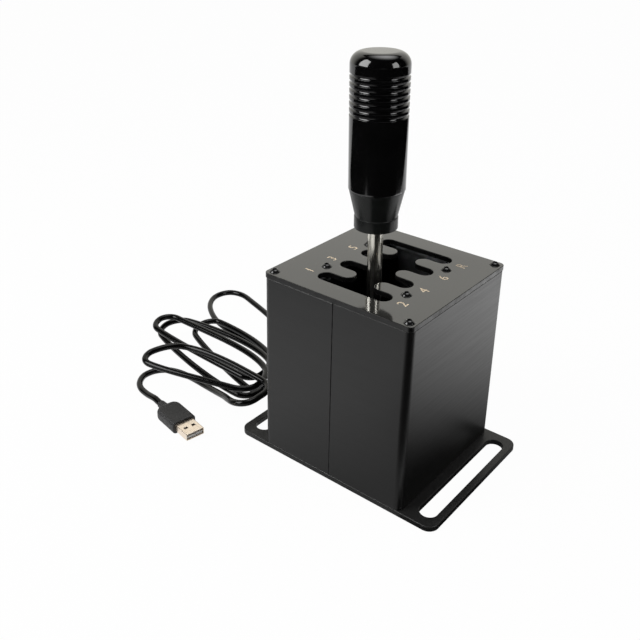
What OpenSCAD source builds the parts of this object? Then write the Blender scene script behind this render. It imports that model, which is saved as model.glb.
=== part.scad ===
// Eight-position gear shifter for sim racing, with its USB cord.
// Millimetres, +Z up, +Y away from the driver, +X to the driver's right.
// The origin lies on the floor under the middle of the base plate.
// The lever tilts about a cross shaft to shift, and slides along that shaft to select a column.

/* [Housing] */
// Depth of the box, front to back
box_d = 94; // [86:1:130]
// Height of the two shell halves
box_h = 106.1; // [98:0.1:140]
// Thickness of the shell walls
wall = 3; // [2:0.1:4]
// Radius of the upright corners of the box
box_corner_r = 4; // [3:0.1:6]
// Open line between the two shell halves
seam_gap = 0.3; // [0.1:0.05:0.6]
// Length of the lip that laps behind the seam
lap_l = 4; // [2:0.5:8]
// Diameter of the screw channels in the corners
channel_d = 8; // [6:0.5:9]

/* [Base plate] */
// Thickness of the base plate
base_t = 3.2; // [2.4:0.1:6]
// How far the base plate runs out past the box at the front and at the back
flange_l = 20; // [16:0.5:40]
// Corner radius of the base plate
base_corner_r = 6; // [2:0.5:10]
// Length of the two mounting slots
slot_l = 81; // [40:1:84]
// Width of the two mounting slots
slot_w = 10; // [6:0.5:12]
// Distance from the box to the middle of each slot
slot_offset = 10.8; // [7:0.1:12]

/* [Gate] */
// Thickness of the gate plate
plate_t = 3; // [2:0.1:5]
// Corner radius of the gate plate
plate_corner_r = 3; // [1:0.1:5]
// Distance between two columns of gears
gear_pitch = 19.4; // [17:0.2:24]
// Width of the gate slots
gate_slot_w = 9.6; // [9:0.1:11]
// Distance from the neutral line to the centre of a slot's round end
gate_throw = 18; // [14:0.5:20]
// Distance from the neutral line to the tips of the tongues
tongue_tip = 6.8; // [5:0.1:8]
// Column in which the lever stands, counted from the left
rest_column = 1; // [0:1:3]

/* [Lever] */
// Diameter of the lever rod
rod_d = 8; // [6:0.1:8.4]
// Lean of the resting lever, away from the driver, in degrees
lever_lean = 1.15; // [0:0.05:2]
// Height of the knob's lower end above the gate plate
knob_gap = 26.8; // [20:0.2:60]
// How far the rod reaches up into the knob
rod_in_knob = 45; // [25:1:60]

/* [Knob] */
// Length of the knob body above the collar
knob_h = 70; // [50:0.1:110]
// Diameter of the knob body at its top
knob_d = 30.1; // [24:0.1:36]
// Diameter of the knob body at its lower end
knob_foot_d = 29.6; // [24:0.1:36]
// Radius of the rounded top edge
knob_edge_r = 6.4; // [2:0.1:8]
// Number of ring grooves
groove_count = 7; // [3:1:8]
// Distance between ring grooves
groove_pitch = 3.25; // [2.4:0.05:4]
// Depth of the ring grooves
groove_depth = 0.8; // [0.4:0.1:1.2]
// Distance from the top of the knob to the first groove
groove_top = 11.2; // [10:0.1:20]
// Height of the cone under the knob body
cone_h = 14.6; // [8:0.1:24]
// Height of the band under the cone
band_h = 6.6; // [3:0.1:12]
// Diameter of the band
band_d = 23; // [18:0.1:24]

/* [Mechanism] */
// Distance from the gate plate's underside down to the cross shaft
shaft_drop = 49.3; // [44:0.1:54]
// Diameter of the cross shaft
shaft_d = 8; // [6:0.5:10]
// Distance from the cross shaft down to the guide rod
guide_drop = 28; // [26:0.5:30]
// Diameter of the guide rod
guide_d = 5; // [4:0.5:6]
// Thickness of the folded steel frame
sheet_t = 2; // [1.5:0.1:3]
// Width of the lever hub along the shaft
hub_w = 10; // [10:0.5:14]
// Thickness of each arm of the carriage
arm_t = 3.5; // [3:0.1:5]
// Outer diameter of the shaft bushes
bush_d = 11; // [11:0.1:13]
// Radius of the detent track about the shaft
track_r = 20.3; // [19.8:0.1:21]

/* [Electronics] */
// Length of the control board, across the shifter
board_l = 68; // [60:1:70]
// Depth of the control board
board_d = 50; // [40:1:60]
// Thickness of the control board
board_t = 1.6; // [1:0.1:2]
// Air gap between the magnet and the sensors
sensor_gap = 2; // [1:0.1:3]

/* [Cord] */
// Diameter of the cord
cord_d = 4; // [3.2:0.1:4.2]
// Distance of the cord's outlet from the middle of the back wall
outlet_x = 25; // [15:1:28]
// Length of the tapered sleeve outside the back wall
sleeve_l = 13; // [8:0.5:20]

/* [Hidden] */
$fn = 64;

// Clearances
fit = 0.05;
press_gap = 0.02;
arm_gap = 0.4;
end_gap = 1;
lap_gap = 0.1;
detent_gap = 0.3;
hole_room = 0.1;
sunk_room = 0.2;
// How far a cutting shape runs out past the face it cuts
over = 1;

// Screws
screw_d = 3;
screw_hole_d = screw_d + 2 * hole_room;
screw_tap_d = screw_d + 2 * fit;
head_d = 6;
head_h = 1.7;
socket_af = 2;
socket_depth = 1.1;
plate_screw_l = 12;
frame_screw_l = 8;
base_screw_l = 10;
sunk_h = 1.7;
sunk_depth = 0.2;
sunk_d = head_d + 2 * sunk_room;
corner_screw_in = 4.3;

// Carriage, frame and box across the shifter, from the hub outwards
flange_t = 1;
bush_flange_d = bush_d + 3;
arm_in = hub_w / 2 + arm_gap;
arm_out = arm_in + arm_t;
carriage_half = arm_out + flange_t;
outer_column = 1.5 * gear_pitch;
cheek_in = outer_column + carriage_half + end_gap;
cheek_out = cheek_in + sheet_t;
clip_t = 0.8;
clip_land = 0.6;
shaft_half = cheek_out + clip_t + clip_land;
shaft_room = 0.6;
wall_in = shaft_half + shaft_room;
box_w = 2 * (wall_in + wall);
lip_t = wall / 2 - lap_gap / 2;
inner_corner_r = 1;

// Heights
plate_z = base_t + box_h;
plate_top = plate_z + plate_t;
shaft_z = plate_z - shaft_drop;
guide_z = shaft_z - guide_drop;

// Base plate
base_l = box_d + 2 * flange_l;
slot_y = box_d / 2 + slot_offset;
corner_x = box_w / 2 - corner_screw_in;
corner_y = box_d / 2 - corner_screw_in;

// Gate
tongue_r = (gear_pitch - gate_slot_w) / 2;
columns = [for (c = [0 : 3]) c * gear_pitch - outer_column];
lever_x = columns[rest_column];

// Window of the frame under the gate, and the screws beside it
window_room_x = 1.6;
window_room_y = 0.5;
window_x = outer_column + gate_slot_w / 2 + window_room_x;
window_y = gate_throw + gate_slot_w / 2 + window_room_y;
frame_screw_out = 2.5;
frame_screw_y = window_y + frame_screw_out;
ring_margin = 6.2;
ring_y = frame_screw_y + ring_margin;

// Frame
bend_inner_r = 1;
bend_r = sheet_t + bend_inner_r;
cheek_top_w = 40;
cheek_foot_r = 8;
clip_rim = 2.5;
guide_clip_rim = 2;
clip_mouth = 0.8;
groove_cut = 2;
boss_d = 5;
boss_h = 2.5;

// Carriage
arm_rim = 2;
arm_r = bush_flange_d / 2 + arm_rim;
bridge_y = 11;
bridge_top = 16;
bridge_foot = 7;
notch_r = 2.6;
notch_cut = 1;
shift_angle = atan(gate_throw / (shaft_drop + plate_t / 2));
magnet_d = 8;
magnet_h = 3;

// Hub, measured from the shaft along the lever
hub_tail = 16;
hub_tail_w = 11;
hub_step = 0.2;
hub_r = arm_r - hub_step;
boss_rise = 1.2;
hub_boss_z = arm_r + boss_rise;
hub_boss_h = 17;
hub_boss_wall = 3;
hub_boss_d = rod_d + 2 * hub_boss_wall;
socket_floor = 2;
rod_z = hub_boss_z + socket_floor;
nut_af = 13;
nut_h = 5;
plunger_d = 5;
plunger_top = 9.5;
ball_r = 2;
ball_z = track_r - detent_gap - ball_r;

// Knob, measured from the shaft along the lever
band_z = plate_top + knob_gap - shaft_z;
cone_z = band_z + band_h;
knob_z = cone_z + cone_h;
knob_top = knob_z + knob_h;
rod_top = knob_z + rod_in_knob;
groove_r = 0.9;
collar_step = 0.6;

// Board
bridge_bottom_z = guide_z - bridge_foot;
sensor_h = 1.5;
sensor_w = 4;
board_top = bridge_bottom_z - sensor_gap - sensor_h;
board_z = board_top - board_t;
spacer_d = 6;
spacer_in_x = 4;
spacer_in_y = 13;
board_hole_l = 6;
board_screw_l = 5;
board_head_d = 5.5;
board_head_h = 1.6;
connector_l = 12;
connector_d = 8;
connector_h = 6;
connector_in = 1;
connector_y = board_d / 2 - connector_d / 2 - connector_in;
chip_w = 12;
chip_h = 1.4;

// Cord outlet in the back wall
outlet_y = box_d / 2;
outlet_z = board_top + connector_h / 2;
neck_d = 8;
gland_flange_d = 12;
gland_inner_d = 11;
gland_flange_t = 2;
sleeve_skin = 0.8;
sleeve_d0 = 8;
sleeve_d1 = cord_d + 2 * sleeve_skin;
sleeve_rings = 3;
sleeve_ring_w = 1;
sleeve_end = outlet_y + gland_flange_t + sleeve_l;

// Route of the cord's free stretch from the outlet to the pile of loops
lead_lay = [
    [25.5, 76, 23.6], [27, 82, 21], [30.5, 89, 16], [37, 97, 9.5], [46, 107, 4.5], [56, 121, 2.2],
    [67, 146, 2.1], [75, 170, 2.1], [79, 186, 2.1], [75, 197, 2.1], [63, 200, 2.1], [50, 192, 2.1],
    [39, 176, 2.1], [33, 158, 2.1], [31, 140, 2.1], [27, 121, 2.1], [21, 105, 2.1], [15, 94.5, 2.1],
    [10.5, 89.4, 2.1], [6.5, 86.9, 2.1]
];
// Turning points of the loops, by turns near the box and far from it, from the top loop down
pile_ends = [
    [-30, 64, 19], [-46, 147, 23], [-23, 77, 15.4], [-6, 183, 17.8], [-7, 88, 11],
    [-1, 182, 12], [-16, 80, 6.6], [20, 170, 7], [-5, 86, 2.1]
];
// Radius of the cord's turn at each turning point
tip_r = 8.2;
// How far each half turn bows out past its two turns, towards its start and towards its end
pile_bows = [[4, 16], [4, 1], [18, 2], [3, 2], [16, 8], [6, 9], [26, 9], [4, 4]];
// Route of the cord's free stretch from the plug to the pile
tail_lay = [
    [-59, 137, 2.5], [-57, 145, 2.1], [-53, 151, 2.1], [-46, 155, 2.1], [-38, 154, 2.1], [-32, 149, 2.1],
    [-28.5, 140, 2.1], [-28, 128, 2.4], [-30.5, 113, 4.2], [-34, 100, 7.2], [-38, 89, 10.8],
    [-41.8, 81.5, 13.8], [-44.3, 76, 16], [-45, 71.5, 17.4], [-44, 67.7, 18.3], [-41.2, 65, 18.8]
];
// Length of each straight step where the pile meets the two free stretches
end_step = 2.5;
// Place of the plug's cord end on the floor and the way that the plug points
plug_at = [-62, 120];
plug_heading = -101;

// Plug
plug_w = 15.6;
plug_t = 7.8;
plug_z = plug_t / 2;
relief_l = 7;
relief_d = 6;
relief_skin = 0.5;
shoulder_l = 3;
shoulder_w = 10;
shoulder_r = 2;
grip_l = 17;
grip_r = 2.4;
grip_fn = 32;
shell_w = 12;
shell_t = 4.5;
shell_l = 12;
shell_skin = 0.35;
shell_r = 0.6;
window_w = 2.4;
window_l = 2;
window_pitch = 5.2;
window_setback = 5;
insert_t = 1.8;

// Cord geometry
cord_r = cord_d / 2;
rings_per_span = 2;
rings_per_half = 12;
lead_sides = 8;
pile_sides = 6;
gap_points_per_half = 40;
gap_skip = 16;
plug_dir = [cos(plug_heading), sin(plug_heading), 0];
plug_end = [plug_at[0], plug_at[1], plug_z];
pile_in = pile_ends[0] - [end_step, 0, 0];
pile_out = pile_ends[len(pile_bows)] + [end_step, 0, 0];
lead_start = [outlet_x, sleeve_end, outlet_z];
lead_route = concat(
    [for (k = [0 : 2]) lead_start + [0, k * cord_d, 0]],
    lead_lay,
    [for (k = [2 : -1 : 0]) pile_out + [k * end_step, 0, 0]]
);
tail_route = concat(
    [for (k = [0 : 2]) plug_end - k * cord_d * plug_dir],
    tail_lay,
    [for (k = [2 : -1 : 0]) pile_in - [k * end_step, 0, 0]]
);

function unit(v) = v / norm(v);

// Point on a smooth curve through the route p, at fraction t of span i
function on_curve(p, i, t) =
    let (
        a = p[max(i - 1, 0)],
        b = p[i],
        c = p[i + 1],
        d = p[min(i + 2, len(p) - 1)]
    )
    (2 * b + (c - a) * t + (2 * a - 5 * b + 4 * c - d) * t * t + (3 * b - 3 * c + d - a) * t * t * t) / 2;

// All points along a route, with n rings in each span
function curve_points(p, n) = concat(
    [for (i = [0 : len(p) - 2], k = [0 : n - 1]) on_curve(p, i, k / n)],
    [p[len(p) - 1]]
);

// Point on half turn h of the pile, at fraction t: round at both ends, bowed between and climbing
function on_loop(h, t) =
    let (
        a = pile_ends[h],
        b = pile_ends[h + 1],
        s = (1 - cos(180 * t)) / 2,
        from_end = abs(b[1] - a[1]) * min(s, 1 - s),
        turn = tip_r * sqrt(1 - pow(max(0, 1 - from_end / tip_r), 2)),
        bow = (pile_bows[h][0] * (1 - s) + pile_bows[h][1] * s) * sin(180 * t),
        side = h % 2 == 0 ? 1 : -1
    )
    [
        a[0] + (b[0] - a[0]) * s + side * (turn + bow),
        a[1] + (b[1] - a[1]) * s,
        a[2] + (b[2] - a[2]) * t
    ];

// All points of the pile, with n rings in each half turn and a straight stretch at both ends
function pile_points(n) = concat(
    [pile_in],
    [for (h = [0 : len(pile_bows) - 1], k = [0 : n - 1]) on_loop(h, k / n)],
    [on_loop(len(pile_bows) - 1, 1), pile_out]
);

// Direction of a line of points at point i, square to its end faces at both ends
function direction(p, i) =
    let (last = len(p) - 1)
    unit(p[min(i + 1, i == 0 ? 1 : last)] - p[i == last ? last - 1 : max(i - 1, 0)]);

// Ring of n points about c, square to direction d
function ring(c, d, r, n) =
    let (
        side = unit(cross([0, 0, 1], d)),
        top = cross(d, side)
    )
    [for (k = [0 : n - 1]) c + r * (cos(360 * k / n) * side + sin(360 * k / n) * top)];

// Distance from point q to the line from a to b
function off_line(q, a, b) =
    let (t = max(0, min(1, (q - a) * (b - a) / ((b - a) * (b - a)))))
    norm(q - a - t * (b - a));

// Least gap between stretches of a cord along p that lie at least skip points apart
function least_gap(p, skip) = min([
    for (i = [0 : len(p) - 2 - skip], j = [i + skip : len(p) - 2]) off_line(p[i], p[j], p[j + 1])
]) - cord_d;

// Solid tube of n sides along the points p
module tube(p, r, n) {
    count = len(p);
    rings = [for (i = [0 : count - 1]) each ring(p[i], direction(p, i), r, n)];
    sides = [for (i = [0 : count - 2], k = [0 : n - 1])
        let (a = i * n + k, b = i * n + (k + 1) % n)
        each [[a, a + n, b], [b, a + n, b + n]]];
    caps = [for (k = [1 : n - 2])
        let (e = (count - 1) * n)
        each [[0, k, k + 1], [e, e + k + 1, e + k]]];
    polyhedron(points = rings, faces = concat(sides, caps));
}

echo(least_gap_between_loops = least_gap(pile_points(gap_points_per_half), gap_skip));

// Rectangle w by d about the middle, with corners of radius r
module rounded_rect(w, d, r) {
    square([w - 2 * r, d], center = true);
    square([w, d - 2 * r], center = true);
    for (x = [-1, 1], y = [-1, 1])
        translate([x * (w / 2 - r), y * (d / 2 - r)]) circle(r = r);
}

// Slot with round ends along X, of full length l and width w
module slot(l, w) {
    square([l - w, w], center = true);
    for (x = [-1, 1])
        translate([x * (l - w) / 2, 0]) circle(d = w);
}

module at_corners(x, y) {
    for (sx = [-1, 1], sy = [-1, 1])
        translate([sx * x, sy * y]) children();
}

// Extrudes a profile drawn in Y and Z along X, from x0 to x1
module along_x(x0, x1) {
    translate([x0, 0, 0]) rotate([90, 0, 90]) linear_extrude(x1 - x0) children();
}

module rod_along_x(d, half) {
    rotate([0, 90, 0]) cylinder(d = d, h = 2 * half, center = true);
}

// Button-head screw with a hexagon socket, seated at the origin
module button_screw(l) {
    dome_r = (head_d * head_d / 4 + head_h * head_h) / (2 * head_h);
    difference() {
        union() {
            intersection() {
                translate([0, 0, head_h - dome_r]) sphere(r = dome_r);
                cylinder(d = head_d, h = head_h);
            }
            translate([0, 0, -l]) cylinder(d = screw_d, h = l);
        }
        translate([0, 0, head_h - socket_depth])
            cylinder(d = socket_af / cos(30), h = socket_depth + over, $fn = 6);
    }
}

// Hook-shaped retaining clip about the X axis, open downwards, from x = 0 to its thickness
module clip(outer_d, inner_d) {
    along_x(0, clip_t) difference() {
        circle(d = outer_d);
        circle(d = inner_d + 2 * fit);
        translate([-inner_d * clip_mouth / 2, -outer_d]) square([inner_d * clip_mouth, outer_d]);
    }
}

// Rod along X with a clip groove near each end
module grooved_rod(d) {
    difference() {
        rod_along_x(d, shaft_half);
        for (s = [-1, 1])
            translate([s * (cheek_out + clip_t / 2 + fit), 0, 0]) difference() {
                rod_along_x(d + over, clip_t / 2 + fit);
                rod_along_x(d - groove_cut, clip_t);
            }
    }
}

module rod_clips(d, outer_d) {
    for (s = [0, 1])
        mirror([s, 0, 0]) translate([cheek_out + fit, 0, 0]) clip(outer_d, d - groove_cut);
}

// Places pieces that slide with the carriage, from the shaft's axis
module on_carriage() {
    translate([lever_x, 0, shaft_z]) children();
}

// Places pieces that tilt with the lever, from the shaft's axis along the leaning lever
module on_lever() {
    on_carriage() rotate([-lever_lean, 0, 0]) children();
}

module base_plate() {
    color([0.1, 0.1, 0.11])
    difference() {
        linear_extrude(base_t) difference() {
            rounded_rect(box_w, base_l, base_corner_r);
            for (s = [-1, 1])
                translate([0, s * slot_y]) slot(slot_l, slot_w);
            at_corners(corner_x, corner_y) circle(d = screw_hole_d);
        }
        at_corners(corner_x, corner_y) {
            translate([0, 0, sunk_depth]) cylinder(d1 = sunk_d, d2 = screw_hole_d, h = sunk_h);
            translate([0, 0, -over]) cylinder(d = sunk_d, h = over + sunk_depth);
        }
    }
}

module base_screws() {
    color([0.15, 0.15, 0.16])
    at_corners(corner_x, corner_y) translate([0, 0, sunk_depth]) difference() {
        union() {
            cylinder(d1 = head_d, d2 = screw_d, h = sunk_h);
            cylinder(d = screw_d, h = base_screw_l);
        }
        translate([0, 0, -over])
            cylinder(d = socket_af / cos(30), h = socket_depth + over, $fn = 6);
    }
}

// Walls and screw channels of the whole box, seen from above
module box_profile() {
    difference() {
        intersection() {
            rounded_rect(box_w, box_d, box_corner_r);
            union() {
                difference() {
                    square([box_w, box_d], center = true);
                    rounded_rect(box_w - 2 * wall, box_d - 2 * wall, inner_corner_r);
                }
                at_corners(corner_x, corner_y) circle(d = channel_d);
            }
        }
        at_corners(corner_x, corner_y) circle(d = screw_tap_d);
    }
}

// Front half, on the driver's side, with a thin lip on both edges
module front_shell() {
    color([0.17, 0.17, 0.18])
    translate([0, 0, base_t]) linear_extrude(box_h) intersection() {
        box_profile();
        union() {
            translate([-box_w, -box_d]) square([2 * box_w, box_d - seam_gap / 2]);
            translate([-wall_in - lip_t, -wall]) square([2 * (wall_in + lip_t), wall + lap_l]);
        }
    }
}

// Back half, with rebates that take the lips and the hole for the cord's gland
module rear_shell() {
    color([0.17, 0.17, 0.18])
    difference() {
        translate([0, 0, base_t]) linear_extrude(box_h) difference() {
            intersection() {
                box_profile();
                translate([-box_w, seam_gap / 2]) square([2 * box_w, box_d]);
            }
            translate([-wall_in - lip_t - lap_gap, -over])
                square([2 * (wall_in + lip_t + lap_gap), over + lap_l + lap_gap]);
        }
        translate([outlet_x, outlet_y + over, outlet_z])
            rotate([90, 0, 0]) cylinder(d = neck_d + 2 * fit, h = wall + 2 * over);
    }
}

// Four slots joined by the neutral channel, with round tongues between the columns
module gate_cut() {
    for (x = columns)
        translate([x, 0]) rotate(90) slot(2 * gate_throw + gate_slot_w, gate_slot_w);
    difference() {
        square([3 * gear_pitch, 2 * (tongue_tip + tongue_r)], center = true);
        for (x = [-1 : 1], s = [-1, 1])
            translate([x * gear_pitch, s * (tongue_tip + tongue_r)]) circle(r = tongue_r);
    }
}

module gate_plate() {
    color([0.2, 0.2, 0.21])
    translate([0, 0, plate_z]) linear_extrude(plate_t) difference() {
        rounded_rect(box_w, box_d, plate_corner_r);
        gate_cut();
        at_corners(corner_x, corner_y) circle(d = screw_hole_d);
        at_corners(gear_pitch, frame_screw_y) circle(d = screw_hole_d);
    }
}

module plate_corner_screws() {
    color([0.08, 0.08, 0.08])
    translate([0, 0, plate_top]) at_corners(corner_x, corner_y) button_screw(plate_screw_l);
}

module frame_screws() {
    color([0.08, 0.08, 0.08])
    translate([0, 0, plate_top]) at_corners(gear_pitch, frame_screw_y) button_screw(frame_screw_l);
}

// Folded steel frame: a window under the gate plate and two cheeks that carry the shaft and guide rod
module mechanism_frame() {
    fold_x = cheek_out - bend_r;
    color([0.62, 0.63, 0.65])
    difference() {
        union() {
            translate([0, 0, plate_z - sheet_t]) linear_extrude(sheet_t) difference() {
                square([2 * fold_x, 2 * ring_y], center = true);
                square([2 * window_x, 2 * window_y], center = true);
            }
            at_corners(gear_pitch, frame_screw_y)
                translate([0, 0, plate_z - sheet_t - boss_h]) cylinder(d = boss_d, h = boss_h);
            for (s = [0, 1]) mirror([s, 0, 0]) {
                translate([fold_x, cheek_top_w / 2, plate_z - bend_r])
                    rotate([90, 0, 0]) linear_extrude(cheek_top_w) intersection() {
                        difference() {
                            circle(r = bend_r);
                            circle(r = bend_r - sheet_t);
                        }
                        square(bend_r);
                    }
                along_x(cheek_in, cheek_out) {
                    polygon([
                        [-cheek_top_w / 2, plate_z - bend_r], [cheek_top_w / 2, plate_z - bend_r],
                        [cheek_foot_r, guide_z], [-cheek_foot_r, guide_z]
                    ]);
                    translate([0, guide_z]) circle(r = cheek_foot_r);
                }
            }
        }
        translate([0, 0, shaft_z]) rod_along_x(shaft_d + 2 * press_gap, shaft_half + over);
        translate([0, 0, guide_z]) rod_along_x(guide_d + 2 * press_gap, shaft_half + over);
        at_corners(gear_pitch, frame_screw_y)
            translate([0, 0, plate_z - sheet_t - boss_h - over])
                cylinder(d = screw_tap_d, h = sheet_t + boss_h + 2 * over);
    }
}

module select_shaft() {
    color([0.75, 0.75, 0.77])
    translate([0, 0, shaft_z]) grooved_rod(shaft_d);
}

module shaft_clips() {
    color([0.3, 0.3, 0.32])
    translate([0, 0, shaft_z]) rod_clips(shaft_d, shaft_d + 2 * clip_rim);
}

module guide_rod() {
    color([0.75, 0.75, 0.77])
    translate([0, 0, guide_z]) grooved_rod(guide_d);
}

module guide_clips() {
    color([0.3, 0.3, 0.32])
    translate([0, 0, guide_z]) rod_clips(guide_d, guide_d + 2 * guide_clip_rim);
}

// Hollow hexagon pillars between the base plate and the board
module board_spacers() {
    color([0.8, 0.68, 0.35])
    at_corners(board_l / 2 - spacer_in_x, board_d / 2 - spacer_in_y)
        translate([0, 0, base_t]) difference() {
            cylinder(d = spacer_d, h = board_z - base_t, $fn = 6);
            translate([0, 0, board_z - base_t - board_hole_l])
                cylinder(d = screw_tap_d, h = board_hole_l + over);
        }
}

module control_board() {
    color([0.05, 0.3, 0.12])
    translate([0, 0, board_z]) linear_extrude(board_t) difference() {
        square([board_l, board_d], center = true);
        at_corners(board_l / 2 - spacer_in_x, board_d / 2 - spacer_in_y) circle(d = screw_hole_d);
    }
}

module board_screws() {
    color([0.7, 0.7, 0.72])
    at_corners(board_l / 2 - spacer_in_x, board_d / 2 - spacer_in_y)
        translate([0, 0, board_top]) {
            cylinder(d = board_head_d, h = board_head_h);
            translate([0, 0, -board_t - board_screw_l]) cylinder(d = screw_d, h = board_t + board_screw_l);
        }
}

// One sensor under each column of gears
module hall_sensors() {
    color([0.1, 0.1, 0.1])
    for (x = columns)
        translate([x - sensor_w / 2, -sensor_w / 2, board_top]) cube([sensor_w, sensor_w, sensor_h]);
}

module control_chip() {
    color([0.08, 0.08, 0.08])
    translate([-chip_w / 2, -board_d / 2 + chip_w / 2, board_top]) cube([chip_w, chip_w, chip_h]);
}

// Lead socket in line with the outlet
module board_connector() {
    color([0.9, 0.9, 0.86])
    translate([outlet_x - connector_l / 2, connector_y - connector_d / 2, board_top])
        cube([connector_l, connector_d, connector_h]);
}

// Cord inside the box, from the gland to the socket
module inner_lead() {
    lead_y0 = connector_y + connector_d / 2;
    lead_y1 = outlet_y - wall - gland_flange_t;
    color([0.06, 0.06, 0.06])
    translate([outlet_x, lead_y1, outlet_z])
        rotate([90, 0, 0]) cylinder(d = cord_d, h = lead_y1 - lead_y0);
}

// Moulded gland: a flange on each side of the wall and a tapered sleeve with rings outside
module cord_gland() {
    ring_pitch = sleeve_l / (sleeve_rings + 1);
    color([0.07, 0.07, 0.07])
    translate([outlet_x, outlet_y, outlet_z]) rotate([-90, 0, 0]) {
        translate([0, 0, -wall - gland_flange_t]) cylinder(d = gland_inner_d, h = gland_flange_t);
        translate([0, 0, -wall]) cylinder(d = neck_d, h = wall);
        cylinder(d = gland_flange_d, h = gland_flange_t);
        translate([0, 0, gland_flange_t]) difference() {
            cylinder(d1 = sleeve_d0, d2 = sleeve_d1, h = sleeve_l);
            for (k = [1 : sleeve_rings])
                translate([0, 0, k * ring_pitch - sleeve_ring_w / 2]) difference() {
                    cylinder(d = sleeve_d0 + over, h = sleeve_ring_w);
                    cylinder(d = cord_d + sleeve_skin, h = sleeve_ring_w);
                }
        }
    }
}

module cord_lead() {
    color([0.05, 0.05, 0.05])
    tube(curve_points(lead_route, rings_per_span), cord_r, lead_sides);
}

module cord_pile() {
    color([0.05, 0.05, 0.05])
    tube(pile_points(rings_per_half), cord_r, pile_sides);
}

module cord_tail() {
    color([0.05, 0.05, 0.05])
    tube(curve_points(tail_route, rings_per_span), cord_r, lead_sides);
}

// Places pieces of the plug, from its cord end along the way it points
module on_plug() {
    translate(plug_end) rotate([0, 0, plug_heading]) rotate([0, 90, 0]) rotate([0, 0, 90]) children();
}

// Moulded grip with a shoulder and a short relief for the cord
module plug_body() {
    color([0.13, 0.13, 0.14])
    on_plug() {
        cylinder(d1 = cord_d + 2 * relief_skin, d2 = relief_d, h = relief_l);
        hull() {
            translate([0, 0, relief_l - over]) linear_extrude(over)
                rounded_rect(shoulder_w, relief_d, shoulder_r, $fn = grip_fn);
            translate([0, 0, relief_l + shoulder_l]) linear_extrude(over)
                rounded_rect(plug_w, plug_t, grip_r, $fn = grip_fn);
        }
        translate([0, 0, relief_l + shoulder_l + over]) linear_extrude(grip_l - over)
            rounded_rect(plug_w, plug_t, grip_r);
    }
}

// Folded steel tube with two latch windows in its top and bottom
module plug_shell() {
    color([0.8, 0.75, 0.65])
    on_plug() translate([0, 0, relief_l + shoulder_l + grip_l]) difference() {
        linear_extrude(shell_l) difference() {
            rounded_rect(shell_w, shell_t, shell_r);
            rounded_rect(shell_w - 2 * shell_skin, shell_t - 2 * shell_skin, shell_r - shell_skin);
        }
        for (x = [-1, 1])
            translate([x * window_pitch / 2, 0, window_setback + window_l / 2])
                cube([window_w, shell_t + over, window_l], center = true);
    }
}

// Plastic contact carrier inside the shell
module plug_insert() {
    color([0.85, 0.85, 0.85])
    on_plug() translate([0, shell_skin - shell_t / 2 + insert_t / 2, relief_l + shoulder_l + grip_l])
        linear_extrude(shell_l - over)
            square([shell_w - 2 * shell_skin - 2 * lap_gap, insert_t - 2 * lap_gap], center = true);
}

// Fork that slides on the shaft, is kept upright by the guide rod and carries the detent track
module carriage() {
    color([0.16, 0.16, 0.17])
    on_carriage() difference() {
        union() {
            for (s = [0, 1])
                mirror([s, 0, 0]) along_x(arm_in, arm_out) {
                    circle(r = arm_r);
                    translate([-arm_r, -guide_drop]) square([2 * arm_r, guide_drop]);
                }
            along_x(-arm_out, arm_out) difference() {
                translate([-bridge_y, -guide_drop - bridge_foot])
                    square([2 * bridge_y, guide_drop + bridge_foot - bridge_top]);
                circle(r = track_r);
                for (a = [-shift_angle, 0, shift_angle])
                    rotate(a) translate([0, notch_r - track_r - notch_cut]) circle(r = notch_r);
            }
        }
        rod_along_x(bush_d + 2 * press_gap, carriage_half + over);
        translate([0, 0, -guide_drop]) rod_along_x(guide_d + 2 * fit, carriage_half + over);
        translate([0, 0, -guide_drop - bridge_foot - over])
            cylinder(d = magnet_d + 2 * press_gap, h = magnet_h + over);
    }
}

module carriage_bushes() {
    color([0.72, 0.55, 0.3])
    on_carriage() for (s = [0, 1]) mirror([s, 0, 0]) difference() {
        translate([arm_in, 0, 0]) rotate([0, 90, 0]) {
            cylinder(d = bush_d, h = arm_t);
            translate([0, 0, arm_t]) cylinder(d = bush_flange_d, h = flange_t);
        }
        rod_along_x(shaft_d + 2 * fit, carriage_half + over);
    }
}

module select_magnet() {
    color([0.7, 0.7, 0.72])
    on_carriage() translate([0, 0, -guide_drop - bridge_foot]) cylinder(d = magnet_d, h = magnet_h);
}

// Block that turns on the shaft between the arms, with a round socket for the rod
module lever_hub() {
    color([0.55, 0.56, 0.58])
    on_lever() difference() {
        union() {
            along_x(-hub_w / 2, hub_w / 2) {
                circle(r = hub_r);
                translate([-hub_tail_w / 2, -hub_tail]) square([hub_tail_w, hub_tail]);
                translate([-hub_boss_d / 2, 0]) square([hub_boss_d, hub_boss_z]);
            }
            translate([0, 0, hub_boss_z]) cylinder(d = hub_boss_d, h = hub_boss_h);
        }
        rod_along_x(shaft_d + 2 * fit, hub_w);
        translate([0, 0, rod_z]) cylinder(d = rod_d + 2 * press_gap, h = hub_boss_z + hub_boss_h);
        translate([0, 0, -hub_tail - over])
            cylinder(d = plunger_d + 2 * press_gap, h = hub_tail + over - plunger_top);
    }
}

module lever_rod() {
    color([0.82, 0.82, 0.83])
    on_lever() translate([0, 0, rod_z]) cylinder(d = rod_d, h = rod_top - rod_z);
}

module rod_nut() {
    color([0.6, 0.6, 0.62])
    on_lever() translate([0, 0, hub_boss_z + hub_boss_h]) difference() {
        cylinder(d = nut_af / cos(30), h = nut_h, $fn = 6);
        translate([0, 0, -over]) cylinder(d = rod_d + 2 * press_gap, h = nut_h + 2 * over);
    }
}

// Spring plunger with a ball nose that runs over the detent track
module detent_plunger() {
    color([0.7, 0.7, 0.72])
    on_lever() {
        translate([0, 0, -ball_z]) sphere(r = ball_r);
        translate([0, 0, -ball_z]) cylinder(d = plunger_d, h = ball_z - plunger_top);
    }
}

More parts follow.
